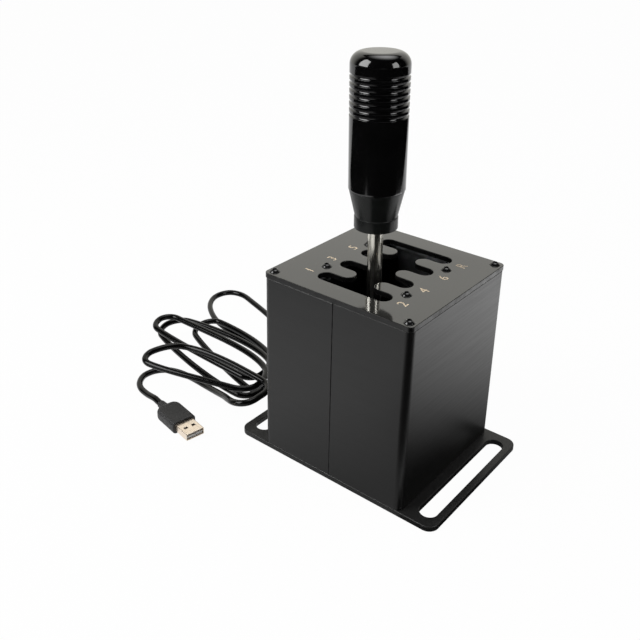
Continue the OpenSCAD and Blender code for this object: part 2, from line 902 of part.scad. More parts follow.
// Cone and band under the knob body
module knob_collar() {
    color([0.2, 0.21, 0.21])
    on_lever() difference() {
        union() {
            translate([0, 0, band_z]) cylinder(d = band_d, h = band_h);
            translate([0, 0, cone_z])
                cylinder(d1 = band_d - collar_step, d2 = knob_foot_d - collar_step, h = cone_h);
        }
        translate([0, 0, band_z - over])
            cylinder(d = rod_d + 2 * press_gap, h = band_h + cone_h + 2 * over);
    }
}

// Turned knob with a rounded top edge and ring grooves
module knob_body() {
    edge_z = knob_top - knob_edge_r;
    color([0.05, 0.05, 0.055])
    on_lever() difference() {
        rotate_extrude() difference() {
            union() {
                polygon([
                    [0, knob_z], [knob_foot_d / 2, knob_z],
                    [knob_d / 2, edge_z], [0, edge_z]
                ]);
                translate([0, edge_z]) square([knob_d / 2 - knob_edge_r, knob_edge_r]);
                intersection() {
                    translate([knob_d / 2 - knob_edge_r, edge_z]) circle(r = knob_edge_r);
                    translate([0, edge_z]) square([knob_d, knob_edge_r]);
                }
            }
            for (k = [0 : groove_count - 1])
                translate([knob_d / 2 + groove_r - groove_depth, knob_top - groove_top - k * groove_pitch])
                    circle(r = groove_r);
        }
        translate([0, 0, knob_z - over]) cylinder(d = rod_d + 2 * press_gap, h = rod_in_knob + over);
    }
}

base_plate();
base_screws();
front_shell();
rear_shell();
gate_plate();
plate_corner_screws();
frame_screws();
mechanism_frame();
select_shaft();
shaft_clips();
guide_rod();
guide_clips();
board_spacers();
control_board();
board_screws();
hall_sensors();
control_chip();
board_connector();
inner_lead();
cord_gland();
cord_lead();
cord_pile();
cord_tail();
plug_body();
plug_shell();
plug_insert();
carriage();
carriage_bushes();
select_magnet();
lever_hub();
lever_rod();
rod_nut();
detent_plunger();
knob_collar();
knob_body();
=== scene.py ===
import math
from functools import partial

import bmesh
import bpy
from mathutils import Matrix, Vector
from mathutils.geometry import tessellate_polygon


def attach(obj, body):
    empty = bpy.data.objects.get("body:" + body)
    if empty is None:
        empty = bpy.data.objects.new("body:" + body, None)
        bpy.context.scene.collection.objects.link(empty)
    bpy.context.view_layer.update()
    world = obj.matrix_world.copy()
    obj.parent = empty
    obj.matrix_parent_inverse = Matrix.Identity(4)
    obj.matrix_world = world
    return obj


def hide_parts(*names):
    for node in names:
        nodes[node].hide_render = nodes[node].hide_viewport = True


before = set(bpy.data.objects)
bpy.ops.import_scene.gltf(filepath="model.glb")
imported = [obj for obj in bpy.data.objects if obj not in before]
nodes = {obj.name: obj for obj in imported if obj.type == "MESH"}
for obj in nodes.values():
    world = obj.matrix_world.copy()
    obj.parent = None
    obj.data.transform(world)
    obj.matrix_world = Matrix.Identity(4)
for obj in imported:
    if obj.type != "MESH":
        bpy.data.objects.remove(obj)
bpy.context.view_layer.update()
mm = 0.001

# Camera: stands in front of the box, on the driver's left, a little above the gate plate.
# It leans slightly to one side, and its frame hangs below the lens axis, as in the photograph.
image_px = 640
focal_px = 838.571
lens_axis_px = (324.23, 229.70)
sensor_width_mm = 36
view_azimuth = math.radians(-51.8704)
view_elevation = math.radians(22.8728)
view_lean = math.radians(1.2008)
camera_at = Vector((-0.34353, -0.22633, 0.30687))
to_camera = Vector((
    math.sin(view_azimuth) * math.cos(view_elevation),
    -math.cos(view_azimuth) * math.cos(view_elevation),
    math.sin(view_elevation),
))
level_right = Vector((math.cos(view_azimuth), math.sin(view_azimuth), 0))
level_up = to_camera.cross(level_right)
camera_right = level_right * math.cos(view_lean) + level_up * math.sin(view_lean)
camera_up = level_up * math.cos(view_lean) - level_right * math.sin(view_lean)
camera_data = bpy.data.cameras.new("studio_camera")
camera_data.sensor_width = sensor_width_mm
camera_data.lens = focal_px * sensor_width_mm / image_px
camera_data.shift_x = (image_px / 2 - lens_axis_px[0]) / image_px
camera_data.shift_y = (lens_axis_px[1] - image_px / 2) / image_px
camera = bpy.data.objects.new("studio_camera", camera_data)
camera.matrix_world = Matrix.Translation(camera_at) @ Matrix(
    (camera_right, camera_up, to_camera)).transposed().to_4x4()
bpy.context.scene.collection.objects.link(camera)
bpy.context.scene.camera = camera

# Cord: round flexible lead with a glossy black vinyl sheath, drawn out through the gland.
# It drops to the floor, swings out and back under a heap of loops, and runs from their top to the plug.
cord_d = 4 * mm
cord_sides = 16
cord_ring_step = 1.1 * mm
cord_exit = Vector((25, 62, 24.5)) * mm
lead_lay = [
    (25.5, 76, 23.6), (27, 82, 21), (30.5, 89, 16), (37, 97, 9.5), (46, 107, 4.5), (56, 121, 2.2),
    (67, 146, 2.1), (75, 170, 2.1), (79, 186, 2.1), (75, 197, 2.1), (63, 199.7, 2.1), (50, 192, 2.1),
    (39, 176, 2.1), (33, 158, 2.1), (31, 140, 2.1), (27, 121, 2.1), (21, 105, 2.1), (15, 94.5, 2.1),
    (10.5, 89.4, 2.1), (6.5, 86.9, 2.1),
]
pile_ends = [
    (-30, 64, 19), (-46, 147, 23), (-23, 77, 15.4), (-6, 183, 17.8), (-7, 88, 11),
    (-1, 182, 12), (-16, 80, 6.6), (20, 170, 7), (-5, 86, 2.1),
]
pile_bows = [(4, 16), (4, 1), (18, 2), (3, 2), (16, 8), (6, 9), (26, 9), (4, 4)]
tip_r = 8.2 * mm
tail_lay = [
    (-59, 137, 2.5), (-57, 145, 2.1), (-53, 151, 2.1), (-46, 155, 2.1), (-38, 154, 2.1), (-32, 149, 2.1),
    (-28.5, 140, 2.1), (-28, 128, 2.4), (-30.5, 113, 4.2), (-34, 100, 7.2), (-38, 89, 10.8),
    (-41.8, 81.5, 13.8), (-44.3, 76, 16), (-45, 71.5, 17.4), (-44, 67.7, 18.3), (-41.2, 65, 18.8),
]
end_step = Vector((2.5, 0, 0)) * mm
plug_end = Vector((-62, 120, 3.9)) * mm
plug_heading = math.radians(-101)
plug_dir = Vector((math.cos(plug_heading), math.sin(plug_heading), 0))
points_per_span = 24
points_per_half_loop = 90


def in_metres(rows):
    return [Vector(row) * mm for row in rows]


def smooth_route(route):
    """Points on a smooth curve through all points of a route."""
    line = []
    for i in range(len(route) - 1):
        a, b = route[max(i - 1, 0)], route[i]
        c, d = route[i + 1], route[min(i + 2, len(route) - 1)]
        for k in range(points_per_span):
            t = k / points_per_span
            line.append((2 * b + (c - a) * t + (2 * a - 5 * b + 4 * c - d) * t ** 2
                         + (3 * b - 3 * c + d - a) * t ** 3) / 2)
    return line + [route[-1]]


def half_loop(h, t):
    """Point on half turn h of the heap: round at both ends, bowed between and climbing."""
    a, b = pile_turns[h], pile_turns[h + 1]
    s = (1 - math.cos(math.pi * t)) / 2
    from_end = abs(b.y - a.y) * min(s, 1 - s)
    turn = tip_r * math.sqrt(1 - max(0, 1 - from_end / tip_r) ** 2)
    bow = (pile_bows[h][0] * (1 - s) + pile_bows[h][1] * s) * math.sin(math.pi * t) * mm
    side = 1 if h % 2 == 0 else -1
    return Vector((a.x + (b.x - a.x) * s + side * (turn + bow), a.y + (b.y - a.y) * s, a.z + (b.z - a.z) * t))


def evenly(line, step):
    """The same line with its points a fixed step apart."""
    even, left = [line[0]], step
    for a, b in zip(line, line[1:]):
        span = (b - a).length
        while span and left <= span:
            a = a + (b - a) * (left / span)
            even.append(a)
            span -= left
            left = step
        left -= span
    if (even[-1] - line[-1]).length <= step / 2:
        even.pop()
    return even + [line[-1]]


def put_in_scene(name, mesh):
    piece = bpy.data.objects.new(name, mesh)
    bpy.context.scene.collection.objects.link(piece)
    return piece


def full_turn(steps):
    """Angles of equal steps round a circle."""
    return [math.tau * k / steps for k in range(steps)]


def tube(name, line, radius, sides):
    """Closed round tube along a line, with a UV map that runs along it and around it."""
    ahead = [(line[min(i + 1, len(line) - 1)] - line[max(i - 1, 0)]).normalized() for i in range(len(line))]
    across = ahead[0].cross(Vector((0, 0, 1))).normalized()
    bm = bmesh.new()
    uv = bm.loops.layers.uv.new("sheath")
    rings, run = [], [0.0]
    for i, point in enumerate(line):
        if i:
            across = ahead[i - 1].rotation_difference(ahead[i]) @ across
            across = (across - ahead[i] * across.dot(ahead[i])).normalized()
            run.append(run[-1] + (point - line[i - 1]).length)
        over = ahead[i].cross(across)
        rings.append([
            bm.verts.new(point + radius * (across * math.cos(angle) + over * math.sin(angle)))
            for angle in full_turn(sides)])
    for i in range(len(line) - 1):
        for k in range(sides):
            m = (k + 1) % sides
            face = bm.faces.new((rings[i][k], rings[i][m], rings[i + 1][m], rings[i + 1][k]))
            face.smooth = True
            for loop, place in zip(face.loops, ((i, k), (i, k + 1), (i + 1, k + 1), (i + 1, k))):
                loop[uv].uv = (run[place[0]], place[1] / sides)
    bm.faces.new(rings[0][::-1])
    bm.faces.new(rings[-1])
    bmesh.ops.recalc_face_normals(bm, faces=bm.faces)
    mesh = bpy.data.meshes.new(name)
    bm.to_mesh(mesh)
    bm.free()
    return put_in_scene(name, mesh)


def set_range(node, low, high, to_low, to_high):
    """Sets what a Map Range node takes in and what it gives out."""
    sockets = ("From Min", "From Max", "To Min", "To Max")
    for socket, value in zip(sockets, (low, high, to_low, to_high)):
        node.inputs[socket].default_value = value


def math_node(tree, operation, first, second=None):
    """Result of a Math node; what it takes in are other nodes' sockets or plain numbers."""
    node = tree.nodes.new("ShaderNodeMath")
    node.operation = operation
    for socket, value in zip(node.inputs, (first, second)):
        if isinstance(value, (int, float)):
            socket.default_value = value
        elif value is not None:
            tree.links.new(value, socket)
    return node.outputs[0]


def mixed(tree, share, first, second):
    """Colour between two tones; a tone is three numbers or another node's colour."""
    mix = tree.nodes.new("ShaderNodeMix")
    mix.data_type = "RGBA"
    tree.links.new(share, mix.inputs["Factor"])
    # The node's sockets for colours come after those for numbers and for directions
    for socket, tone in zip(mix.inputs[6:8], (first, second)):
        if isinstance(tone, tuple):
            socket.default_value = (*tone, 1)
        else:
            tree.links.new(tone, socket)
    return mix.outputs[2]


class Finish:
    """A procedural surface, with colour, roughness and relief from the piece's own coordinates."""

    # Spans of the noise for drifting values and for wear, and of the upward share of a level face's normal
    grain_span, wear_span, level_span = (0.3, 0.7), (0.35, 0.65), (0.9, 0.99)
    wear_stretch = 260

    def __init__(self, name, metal=0.0, specular=0.5, map_name=None):
        self.material = bpy.data.materials.new(name)
        self.material.use_nodes = True
        self.nodes, self.links = self.material.node_tree.nodes, self.material.node_tree.links
        self.shader = self.nodes["Principled BSDF"]
        self.shader.inputs["Metallic"].default_value = metal
        self.shader.inputs["Specular IOR Level"].default_value = specular
        if map_name:
            self.place = self.nodes.new("ShaderNodeUVMap").outputs["UV"]
            self.place.node.uv_map = map_name
        else:
            self.place = self.nodes.new("ShaderNodeTexCoord").outputs["Object"]

    def stretched(self, stretch):
        mapping = self.nodes.new("ShaderNodeMapping")
        mapping.inputs["Scale"].default_value = stretch if isinstance(stretch, tuple) else (stretch,) * 3
        self.links.new(self.place, mapping.inputs["Vector"])
        return mapping.outputs["Vector"]

    def grain(self, stretch, detail=3.0):
        """Noise whose features are one over stretch metres long on each axis."""
        noise = self.nodes.new("ShaderNodeTexNoise")
        noise.inputs["Scale"].default_value = 1.0
        noise.inputs["Detail"].default_value = detail
        self.links.new(self.stretched(stretch), noise.inputs["Vector"])
        return noise.outputs["Fac"]

    def spread(self, value, low, high, to_low=0.0, to_high=1.0):
        ranged = self.nodes.new("ShaderNodeMapRange")
        set_range(ranged, low, high, to_low, to_high)
        self.links.new(value, ranged.inputs["Value"])
        return ranged.outputs["Result"]

    def tint(self, share, first, second):
        return mixed(self.material.node_tree, share, first, second)

    def times(self, first, second):
        return math_node(self.material.node_tree, "MULTIPLY", first, second)

    def rubbed(self):
        """Share of wear: the rounded edge strips of the piece, broken up by noise."""
        strip = self.nodes.new("ShaderNodeAttribute")
        strip.attribute_name = "edge_strip"
        return self.times(strip.outputs["Fac"], self.spread(self.grain(self.wear_stretch), *self.wear_span))

    def lies_level(self):
        """Share of level faces, against walls and edges."""
        parts = self.nodes.new("ShaderNodeSeparateXYZ")
        self.links.new(self.nodes.new("ShaderNodeNewGeometry").outputs["Normal"], parts.inputs["Vector"])
        return self.spread(parts.outputs["Z"], *self.level_span)

    def mottled(self, stretch, first, second, detail=3.0):
        """Colour that drifts between two tones with the grain."""
        return self.tint(self.grain(stretch, detail), first, second)

    def drifting(self, stretch, low, high, detail=3.0):
        """Value that drifts between two limits with the grain."""
        return self.spread(self.grain(stretch, detail), *self.grain_span, low, high)

    def colour(self, socket):
        self.links.new(socket, self.shader.inputs["Base Color"])

    def coloured(self, stretch, first, second, detail=3.0):
        """Colour that follows the grain."""
        self.colour(self.mottled(stretch, first, second, detail))

    def worn(self, tone, bare):
        """Colour with another tone where the edges are rubbed."""
        self.colour(self.tint(self.rubbed(), tone, bare))

    def roughness(self, socket):
        self.links.new(socket, self.shader.inputs["Roughness"])

    def roughened(self, stretch, low, high, detail=3.0):
        """Roughness that follows the grain."""
        self.roughness(self.drifting(stretch, low, high, detail))

    def shine(self, socket):
        self.links.new(socket, self.shader.inputs["Specular IOR Level"])

    def relief(self, height, depth, strength):
        """Relief of the given depth in metres; a second call adds to the first."""
        bump = self.nodes.new("ShaderNodeBump")
        bump.inputs["Strength"].default_value = strength
        bump.inputs["Distance"].default_value = depth
        self.links.new(height, bump.inputs["Height"])
        if self.shader.inputs["Normal"].is_linked:
            self.links.new(self.shader.inputs["Normal"].links[0].from_socket, bump.inputs["Normal"])
        self.links.new(bump.outputs["Normal"], self.shader.inputs["Normal"])

    def textured(self, stretch, depth, strength, detail=3.0):
        """Relief that follows the grain."""
        self.relief(self.grain(stretch, detail), depth, strength)


sheath = Finish("cord_sheath_vinyl", specular=0.22, map_name="sheath")
sheath.coloured((90, 2, 1), (0.0012, 0.0012, 0.0012), (0.003, 0.003, 0.0031))
sheath.roughened((240, 6, 1), 0.12, 0.18)
sheath.textured((420, 10, 1), 0.01 * mm, 0.2)
sheath.textured((40, 9, 1), 0.05 * mm, 0.2, 1.0)

pile_turns = in_metres(pile_ends)
pile_start, pile_stop = pile_turns[0] - end_step, pile_turns[-1] + end_step
lead_line = smooth_route(
    [cord_exit + Vector((0, k * cord_d, 0)) for k in range(3)] + in_metres(lead_lay)
    + [pile_stop + k * end_step for k in (2, 1, 0)])
pile_line = [pile_start] + [
    half_loop(h, k / points_per_half_loop) for h in range(len(pile_bows)) for k in range(points_per_half_loop)
] + [half_loop(len(pile_bows) - 1, 1), pile_stop]
tail_line = smooth_route(
    [plug_end - k * cord_d * plug_dir for k in range(3)] + in_metres(tail_lay)
    + [pile_start - k * end_step for k in (2, 1, 0)])
cord_line = evenly(lead_line + pile_line[-2::-1] + tail_line[-2::-1], cord_ring_step)
cord = tube("usb_cord", cord_line, cord_d / 2, cord_sides)
cord.data.materials.append(sheath.material)
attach(cord, "housing")
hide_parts("cord_lead", "cord_pile", "cord_tail")

# Plug: soft vinyl moulded over the end of the cord, with a short relief and a shoulder.
# It grips a folded, nickel-plated steel shell with two latch windows and a plastic contact carrier.
relief_l, shoulder_l, grip_l = 7 * mm, 3 * mm, 17 * mm
relief_d0, relief_d1 = 5 * mm, 6 * mm
grip_w, grip_t, grip_corner = 15.6 * mm, 7.8 * mm, 2.4 * mm
grip_edge = 0.5 * mm
shell_edge, carrier_edge = 0.1 * mm, 0.15 * mm
section_points = 14
relief_shares = (0.3, 0.6, 0.8)
shoulder_steps, shoulder_fullness = 8, 0.6
shoulder_overlap, shoulder_run_out = 1 * mm, 1.6 * mm
grip_edge_steps = 4
weld_gap = 0.001 * mm
flat_limit, edge_limit = math.radians(0.6), math.radians(28)
on_plug = (Matrix.Translation(plug_end) @ Matrix.Rotation(plug_heading, 4, "Z")
           @ Matrix.Rotation(math.radians(90), 4, "Y") @ Matrix.Rotation(math.radians(90), 4, "Z"))


def rounded_loop(width, depth, corner, corner_points):
    """Rounded rectangle about the middle, anticlockwise, as points in the plane."""
    corner = min(corner, width / 2, depth / 2)
    loop = []
    for q, (sx, sy) in enumerate(((1, 1), (-1, 1), (-1, -1), (1, -1))):
        for k in range(corner_points):
            angle = math.radians(90 * q + 90 * k / (corner_points - 1))
            loop.append(Vector((sx * (width / 2 - corner) + corner * math.cos(angle),
                                sy * (depth / 2 - corner) + corner * math.sin(angle))))
    return loop


def quarter_turn(steps):
    """Angles of equal steps over a quarter of a circle, with both ends."""
    return [math.radians(90 * k / steps) for k in range(steps + 1)]


def mark_edges(mesh, strips, sharp=40):
    """Notes the edge strips for wear, and shades the mesh smooth but for its sharp edges."""
    mesh.attributes.new("edge_strip", "FLOAT", "FACE").data.foreach_set("value", strips)
    mesh.polygons.foreach_set("use_smooth", [True] * len(mesh.polygons))
    mesh.set_sharp_from_angle(angle=math.radians(sharp))


def settled(piece):
    """Turns a piece with modifiers into a plain mesh."""
    bpy.context.view_layer.update()
    mesh = bpy.data.meshes.new_from_object(piece.evaluated_get(bpy.context.evaluated_depsgraph_get()))
    mesh.name = piece.name
    old = piece.data
    piece.modifiers.clear()
    piece.data = mesh
    bpy.data.meshes.remove(old)
    return piece


def weigh_normals(piece):
    """Keeps wide faces flat in the light beside their rounded edges."""
    weighted = piece.modifiers.new("flat_faces", "WEIGHTED_NORMAL")
    weighted.keep_sharp = True
    return settled(piece)


def lofted(name, sections, strip_rows=()):
    """Closed skin over a row of equal loops, capped at both ends; strip rows count as edge strips."""
    bm = bmesh.new()
    rows = [[bm.verts.new(p) for p in loop] for loop in sections]
    count = len(rows[0])
    faces = {}
    for i, (low, high) in enumerate(zip(rows, rows[1:])):
        for k in range(count):
            m = (k + 1) % count
            faces[bm.faces.new((low[k], low[m], high[m], high[k]))] = 1.0 if i in strip_rows else 0.0
    faces[bm.faces.new(rows[0][::-1])] = faces[bm.faces.new(rows[-1])] = 0.0
    bmesh.ops.recalc_face_normals(bm, faces=bm.faces)
    strips = [faces[f] for f in bm.faces]
    mesh = bpy.data.meshes.new(name)
    bm.to_mesh(mesh)
    bm.free()
    mark_edges(mesh, strips)
    return weigh_normals(put_in_scene(name, mesh))


def softened(name, node, edge, steps=2):
    """Copy of a CAD node with its sharp edges rounded to the given width."""
    bm = bmesh.new()
    bm.from_mesh(nodes[node].data)
    bmesh.ops.remove_doubles(bm, verts=bm.verts, dist=weld_gap)
    bmesh.ops.dissolve_limit(bm, angle_limit=flat_limit, verts=bm.verts, edges=bm.edges)
    mesh = bpy.data.meshes.new(name)
    bm.to_mesh(mesh)
    bm.free()
    mesh.materials.clear()
    piece = put_in_scene(name, mesh)
    rounding = piece.modifiers.new("rounded_edges", "BEVEL")
    rounding.width, rounding.segments = edge, steps
    rounding.limit_method, rounding.angle_limit = "ANGLE", edge_limit
    rounding.material = 1
    mesh.materials.append(bpy.data.materials.new("face_mark"))
    mesh.materials.append(bpy.data.materials.new("strip_mark"))
    settled(piece)
    strips = [float(f.material_index) for f in piece.data.polygons]
    piece.data.polygons.foreach_set("material_index", [0] * len(strips))
    for mark in list(piece.data.materials):
        bpy.data.materials.remove(mark)
    piece.data.materials.clear()
    mark_edges(piece.data, strips)
    return weigh_normals(piece)


def plug_section(along, width, thickness, corner):
    loop = rounded_loop(width, thickness, corner, section_points)
    return [on_plug @ Vector((p.x, p.y, along)) for p in loop]


plug_sections = [plug_section(0, relief_d0, relief_d0, relief_d0)]
for share in relief_shares:
    size = relief_d0 + (relief_d1 - relief_d0) * share
    plug_sections.append(plug_section(relief_l * share, size, size, size))
for angle in quarter_turn(shoulder_steps):
    swell = math.sin(angle) ** shoulder_fullness
    along = relief_l - shoulder_overlap + (shoulder_l + shoulder_run_out) * (1 - math.cos(angle))
    plug_sections.append(plug_section(along, relief_d1 + (grip_w - relief_d1) * swell,
                                      relief_d1 + (grip_t - relief_d1) * swell,
                                      relief_d1 / 2 + (grip_corner - relief_d1 / 2) * swell))
plug_length = relief_l + shoulder_l + grip_l
for angle in quarter_turn(grip_edge_steps):
    inset = grip_edge * (1 - math.cos(angle))
    plug_sections.append(plug_section(plug_length - grip_edge * (1 - math.sin(angle)),
                                      grip_w - 2 * inset, grip_t - 2 * inset, grip_corner - inset))
last_row = len(plug_sections)
plug_grip = lofted("usb_plug_grip", plug_sections, range(last_row - grip_edge_steps - 1, last_row))
moulded = Finish("plug_moulded_vinyl", specular=0.4)
plug_skin = moulded.mottled(160, (0.012, 0.012, 0.0125), (0.018, 0.018, 0.0187))
moulded.worn(plug_skin, (0.025, 0.025, 0.026))
moulded.roughened(500, 0.38, 0.56)
moulded.textured(3200, 0.012 * mm, 0.4)
plug_grip.data.materials.append(moulded.material)
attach(plug_grip, "housing")
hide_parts("plug_body")

plug_shell = softened("usb_plug_shell", "plug_shell", shell_edge)
nickel = Finish("plug_shell_nickel", metal=1.0)
nickel_tone = nickel.mottled(220, (0.86, 0.72, 0.58), (0.97, 0.86, 0.74))
nickel.worn(nickel_tone, (0.9, 0.84, 0.72))
nickel.roughened((900, 120, 900), 0.2, 0.36)
nickel.textured((2600, 200, 2600), 0.01 * mm, 0.4)
plug_shell.data.materials.append(nickel.material)
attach(plug_shell, "housing")
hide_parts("plug_shell")

plug_carrier = softened("usb_plug_carrier", "plug_insert", carrier_edge)
carrier_white = Finish("plug_carrier_plastic", specular=0.4)
carrier_white.coloured(300, (0.56, 0.56, 0.55), (0.66, 0.66, 0.65))
carrier_white.roughened(700, 0.4, 0.55)
plug_carrier.data.materials.append(carrier_white.material)
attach(plug_carrier, "housing")
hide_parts("plug_insert")

# Base plate: cut from aluminium sheet with rounded corners, two long slots for clamps or bolts,
# and four countersunk holes underneath. It is powder coated, with a fine grain in the coat.
base_w, base_l, base_t, base_corner = 94 * mm, 134 * mm, 3.2 * mm, 6 * mm
slot_l, slot_w, slot_y = 81 * mm, 10 * mm, 57.8 * mm
base_edge = 0.45 * mm
hole_d, sunk_d, sunk_depth, sunk_h = 3.2 * mm, 6.4 * mm, 0.2 * mm, 1.7 * mm
corner_screw = 42.7 * mm
corner_seats = [(x, y) for x in (-corner_screw, corner_screw) for y in (-corner_screw, corner_screw)]
arc_points = 17
wall_tilt, face_tilt = 0.1, 0.95


def wall(loop, low, high, edge, steps=3):
    """Rings up a plate's wall, with a rounded edge at both faces; loop gives the outline at an inset."""
    turns = quarter_turn(steps)
    levels = [(edge * (1 - math.sin(a)), low + edge * (1 - math.cos(a))) for a in turns]
    levels += [(edge * (1 - math.cos(a)), high - edge * (1 - math.sin(a))) for a in turns]
    return [[Vector((p.x, p.y, z)) for p in loop(inset)] for inset, z in levels]


def round_hole(x, y, steps=32):
    """Outline of a drilled hole at a place, for any diameter."""
    return lambda diameter: [
        Vector((x + diameter / 2 * math.cos(angle), y + diameter / 2 * math.sin(angle)))
        for angle in full_turn(steps)]


def slab(name, walls):
    """Closed plate from its walls: each is a row of rings from the lower face up to the upper one."""
    bm = bmesh.new()
    lower, upper = [], []
    for rings in walls:
        rows = [[bm.verts.new(p) for p in ring] for ring in rings]
        count = len(rows[0])
        for low, high in zip(rows, rows[1:]):
            for k in range(count):
                m = (k + 1) % count
                bm.faces.new((low[k], low[m], high[m], high[k]))
        lower.append(rows[0])
        upper.append(rows[-1])
    for rims in (lower, upper):
        corners = [v for rim in rims for v in rim]
        for triangle in tessellate_polygon([[v.co for v in rim] for rim in rims]):
            bm.faces.new([corners[k] for k in triangle])
    bmesh.ops.recalc_face_normals(bm, faces=bm.faces)
    bm.normal_update()
    strips = [1.0 if wall_tilt < abs(f.normal.z) < face_tilt else 0.0 for f in bm.faces]
    mesh = bpy.data.meshes.new(name)
    bm.to_mesh(mesh)
    bm.free()
    mark_edges(mesh, strips)
    return weigh_normals(put_in_scene(name, mesh))


def slot_outline(y):
    return lambda inset: [p + Vector((0, y)) for p in rounded_loop(
        slot_l + 2 * inset, slot_w + 2 * inset, slot_w, arc_points)]


def sheet_outline(width, depth, corner):
    """Outline of a sheet with rounded corners, for any inset."""
    return lambda inset: rounded_loop(width - 2 * inset, depth - 2 * inset, corner - inset, arc_points)


base_walls = [wall(sheet_outline(base_w, base_l, base_corner), 0, base_t, base_edge)]
base_walls += [wall(slot_outline(y), 0, base_t, base_edge) for y in (-slot_y, slot_y)]
for x, y in corner_seats:
    hole = round_hole(x, y)
    base_walls.append([
        [Vector((p.x, p.y, z)) for p in hole(d)]
        for d, z in ((sunk_d, 0), (sunk_d, sunk_depth), (hole_d, sunk_depth + sunk_h), (hole_d, base_t))])
base = slab("base_plate_coated", base_walls)
powder = Finish("base_powder_coat", specular=0.3)
powder_tone = powder.mottled(120, (0.009, 0.009, 0.0092), (0.016, 0.016, 0.0162))
powder.worn(powder_tone, (0.02, 0.02, 0.02))
powder.roughened(350, 0.32, 0.42)
powder.textured(1900, 0.06 * mm, 0.55)
base.data.materials.append(powder.material)
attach(base, "housing")
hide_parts("base_plate")

# Base screws: countersunk machine screws with hexagon sockets, driven up through the base plate
# into the shells. Steel with a black oxide finish that is rubbed bright at the edges.
black_oxide = Finish("screw_black_oxide", specular=0.6)
oxide_tone = black_oxide.mottled(600, (0.004, 0.004, 0.0042), (0.011, 0.011, 0.0115))
black_oxide.worn(oxide_tone, (0.06, 0.06, 0.062))
black_oxide.roughened(1500, 0.09, 0.17)
black_oxide.textured(4000, 0.008 * mm, 0.5)


def dress(node, finish):
    """Gives a CAD node that stays as it is its own finish."""
    nodes[node].data.materials.clear()
    nodes[node].data.materials.append(finish.material)


dress("base_screws", black_oxide)

# Box: two halves folded from aluminium sheet with screw channels in the corners, lapped behind
# an open seam in the middle of both side walls. Satin black anodised over a fine brushed grain.
shell_edge_r = 0.35 * mm
anodised = Finish("shell_satin_anodised", specular=0.41)
anodised_tone = anodised.mottled((35, 35, 300), (0.003, 0.003, 0.0031), (0.0045, 0.0045, 0.0045), 4.0)
anodised.worn(anodised_tone, (0.02, 0.02, 0.02))
anodised.roughened((25, 25, 900), 0.31, 0.4, 4.0)
anodised.textured((40, 40, 2600), 0.004 * mm, 0.3)
anodised.textured(2600, 0.006 * mm, 0.3)
for name, node in (("box_front_half", "front_shell"), ("box_rear_half", "rear_shell")):
    half = softened(name, node, shell_edge_r)
    half.data.materials.append(anodised.material)
    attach(half, "housing")
    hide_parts(node)

# Gate plate: milled aluminium with four slots, a neutral channel and round tongues between the columns.
# It is anodised glossy black, and lies on the box under eight button-head screws.
plate_w, plate_z, plate_top, plate_corner = 94 * mm, 109.3 * mm, 112.3 * mm, 3 * mm
gear_pitch, gate_slot_w, gate_throw, tongue_tip = 19.4 * mm, 9.6 * mm, 18 * mm, 6.8 * mm
frame_screw_y = 25.8 * mm
plate_edge, gate_edge = 0.3 * mm, 0.35 * mm
tongue_r = (gear_pitch - gate_slot_w) / 2
column_count = 4
columns = [(c - (column_count - 1) / 2) * gear_pitch for c in range(column_count)]
wall_shine, face_shine, wall_dulling = 0.4, 0.9, 5.0


def arc(x, y, radius, start, stop):
    return [Vector((x + radius * math.cos(a), y + radius * math.sin(a)))
            for a in (math.radians(start + (stop - start) * k / (arc_points - 1)) for k in range(arc_points))]


def gate_outline(inset):
    """Outline of the gate, anticlockwise: slot ends outwards, tongue tips inwards."""
    end_r, tip = gate_slot_w / 2 + inset, tongue_r - inset
    tongue_y = tongue_tip + tongue_r
    outline = []
    for x in columns[::-1]:
        outline += arc(x, gate_throw, end_r, 0, 180)
        if x != columns[0]:
            outline += arc(x - gear_pitch / 2, tongue_y, tip, 360, 180)
    for x in columns:
        outline += arc(x, -gate_throw, end_r, 180, 360)
        if x != columns[-1]:
            outline += arc(x + gear_pitch / 2, -tongue_y, tip, 180, 0)
    return outline


plate_walls = [
    wall(sheet_outline(plate_w, plate_w, plate_corner), plate_z, plate_top, plate_edge),
    wall(gate_outline, plate_z, plate_top, gate_edge)]
frame_seats = [(x, y) for x in (-gear_pitch, gear_pitch) for y in (-frame_screw_y, frame_screw_y)]
for x, y in corner_seats + frame_seats:
    hole = round_hole(x, y)
    plate_walls.append([[Vector((p.x, p.y, z)) for p in hole(hole_d)] for z in (plate_z, plate_top)])
gate = slab("gate_plate_gloss", plate_walls)
gloss = Finish("plate_gloss_anodised", specular=face_shine)
level_faces_vs_shaded_walls = gloss.lies_level()
plate_tone_and_wall_shade = gloss.mottled(420, (0.022, 0.022, 0.020), (0.033, 0.033, 0.030), 5.0)
# The plate's walls and slot walls are painted near black as painted shade, with a weaker shine; its level
# faces keep the mottled anodised tone.
plate_tone_and_wall_shade = gloss.tint(level_faces_vs_shaded_walls, (0.003, 0.003, 0.003), plate_tone_and_wall_shade)
gloss.shine(gloss.spread(level_faces_vs_shaded_walls, 0.0, 1.0, wall_shine, face_shine))
gloss.worn(plate_tone_and_wall_shade, (0.035, 0.035, 0.033))
polish = gloss.drifting(240, 0.05, 0.09, 4.0)
gloss.roughness(gloss.times(polish, gloss.spread(level_faces_vs_shaded_walls, 0.0, 1.0, wall_dulling, 1.0)))
gloss.textured(1500, 0.006 * mm, 0.35)
gate.data.materials.append(gloss.material)
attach(gate, "housing")
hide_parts("gate_plate")

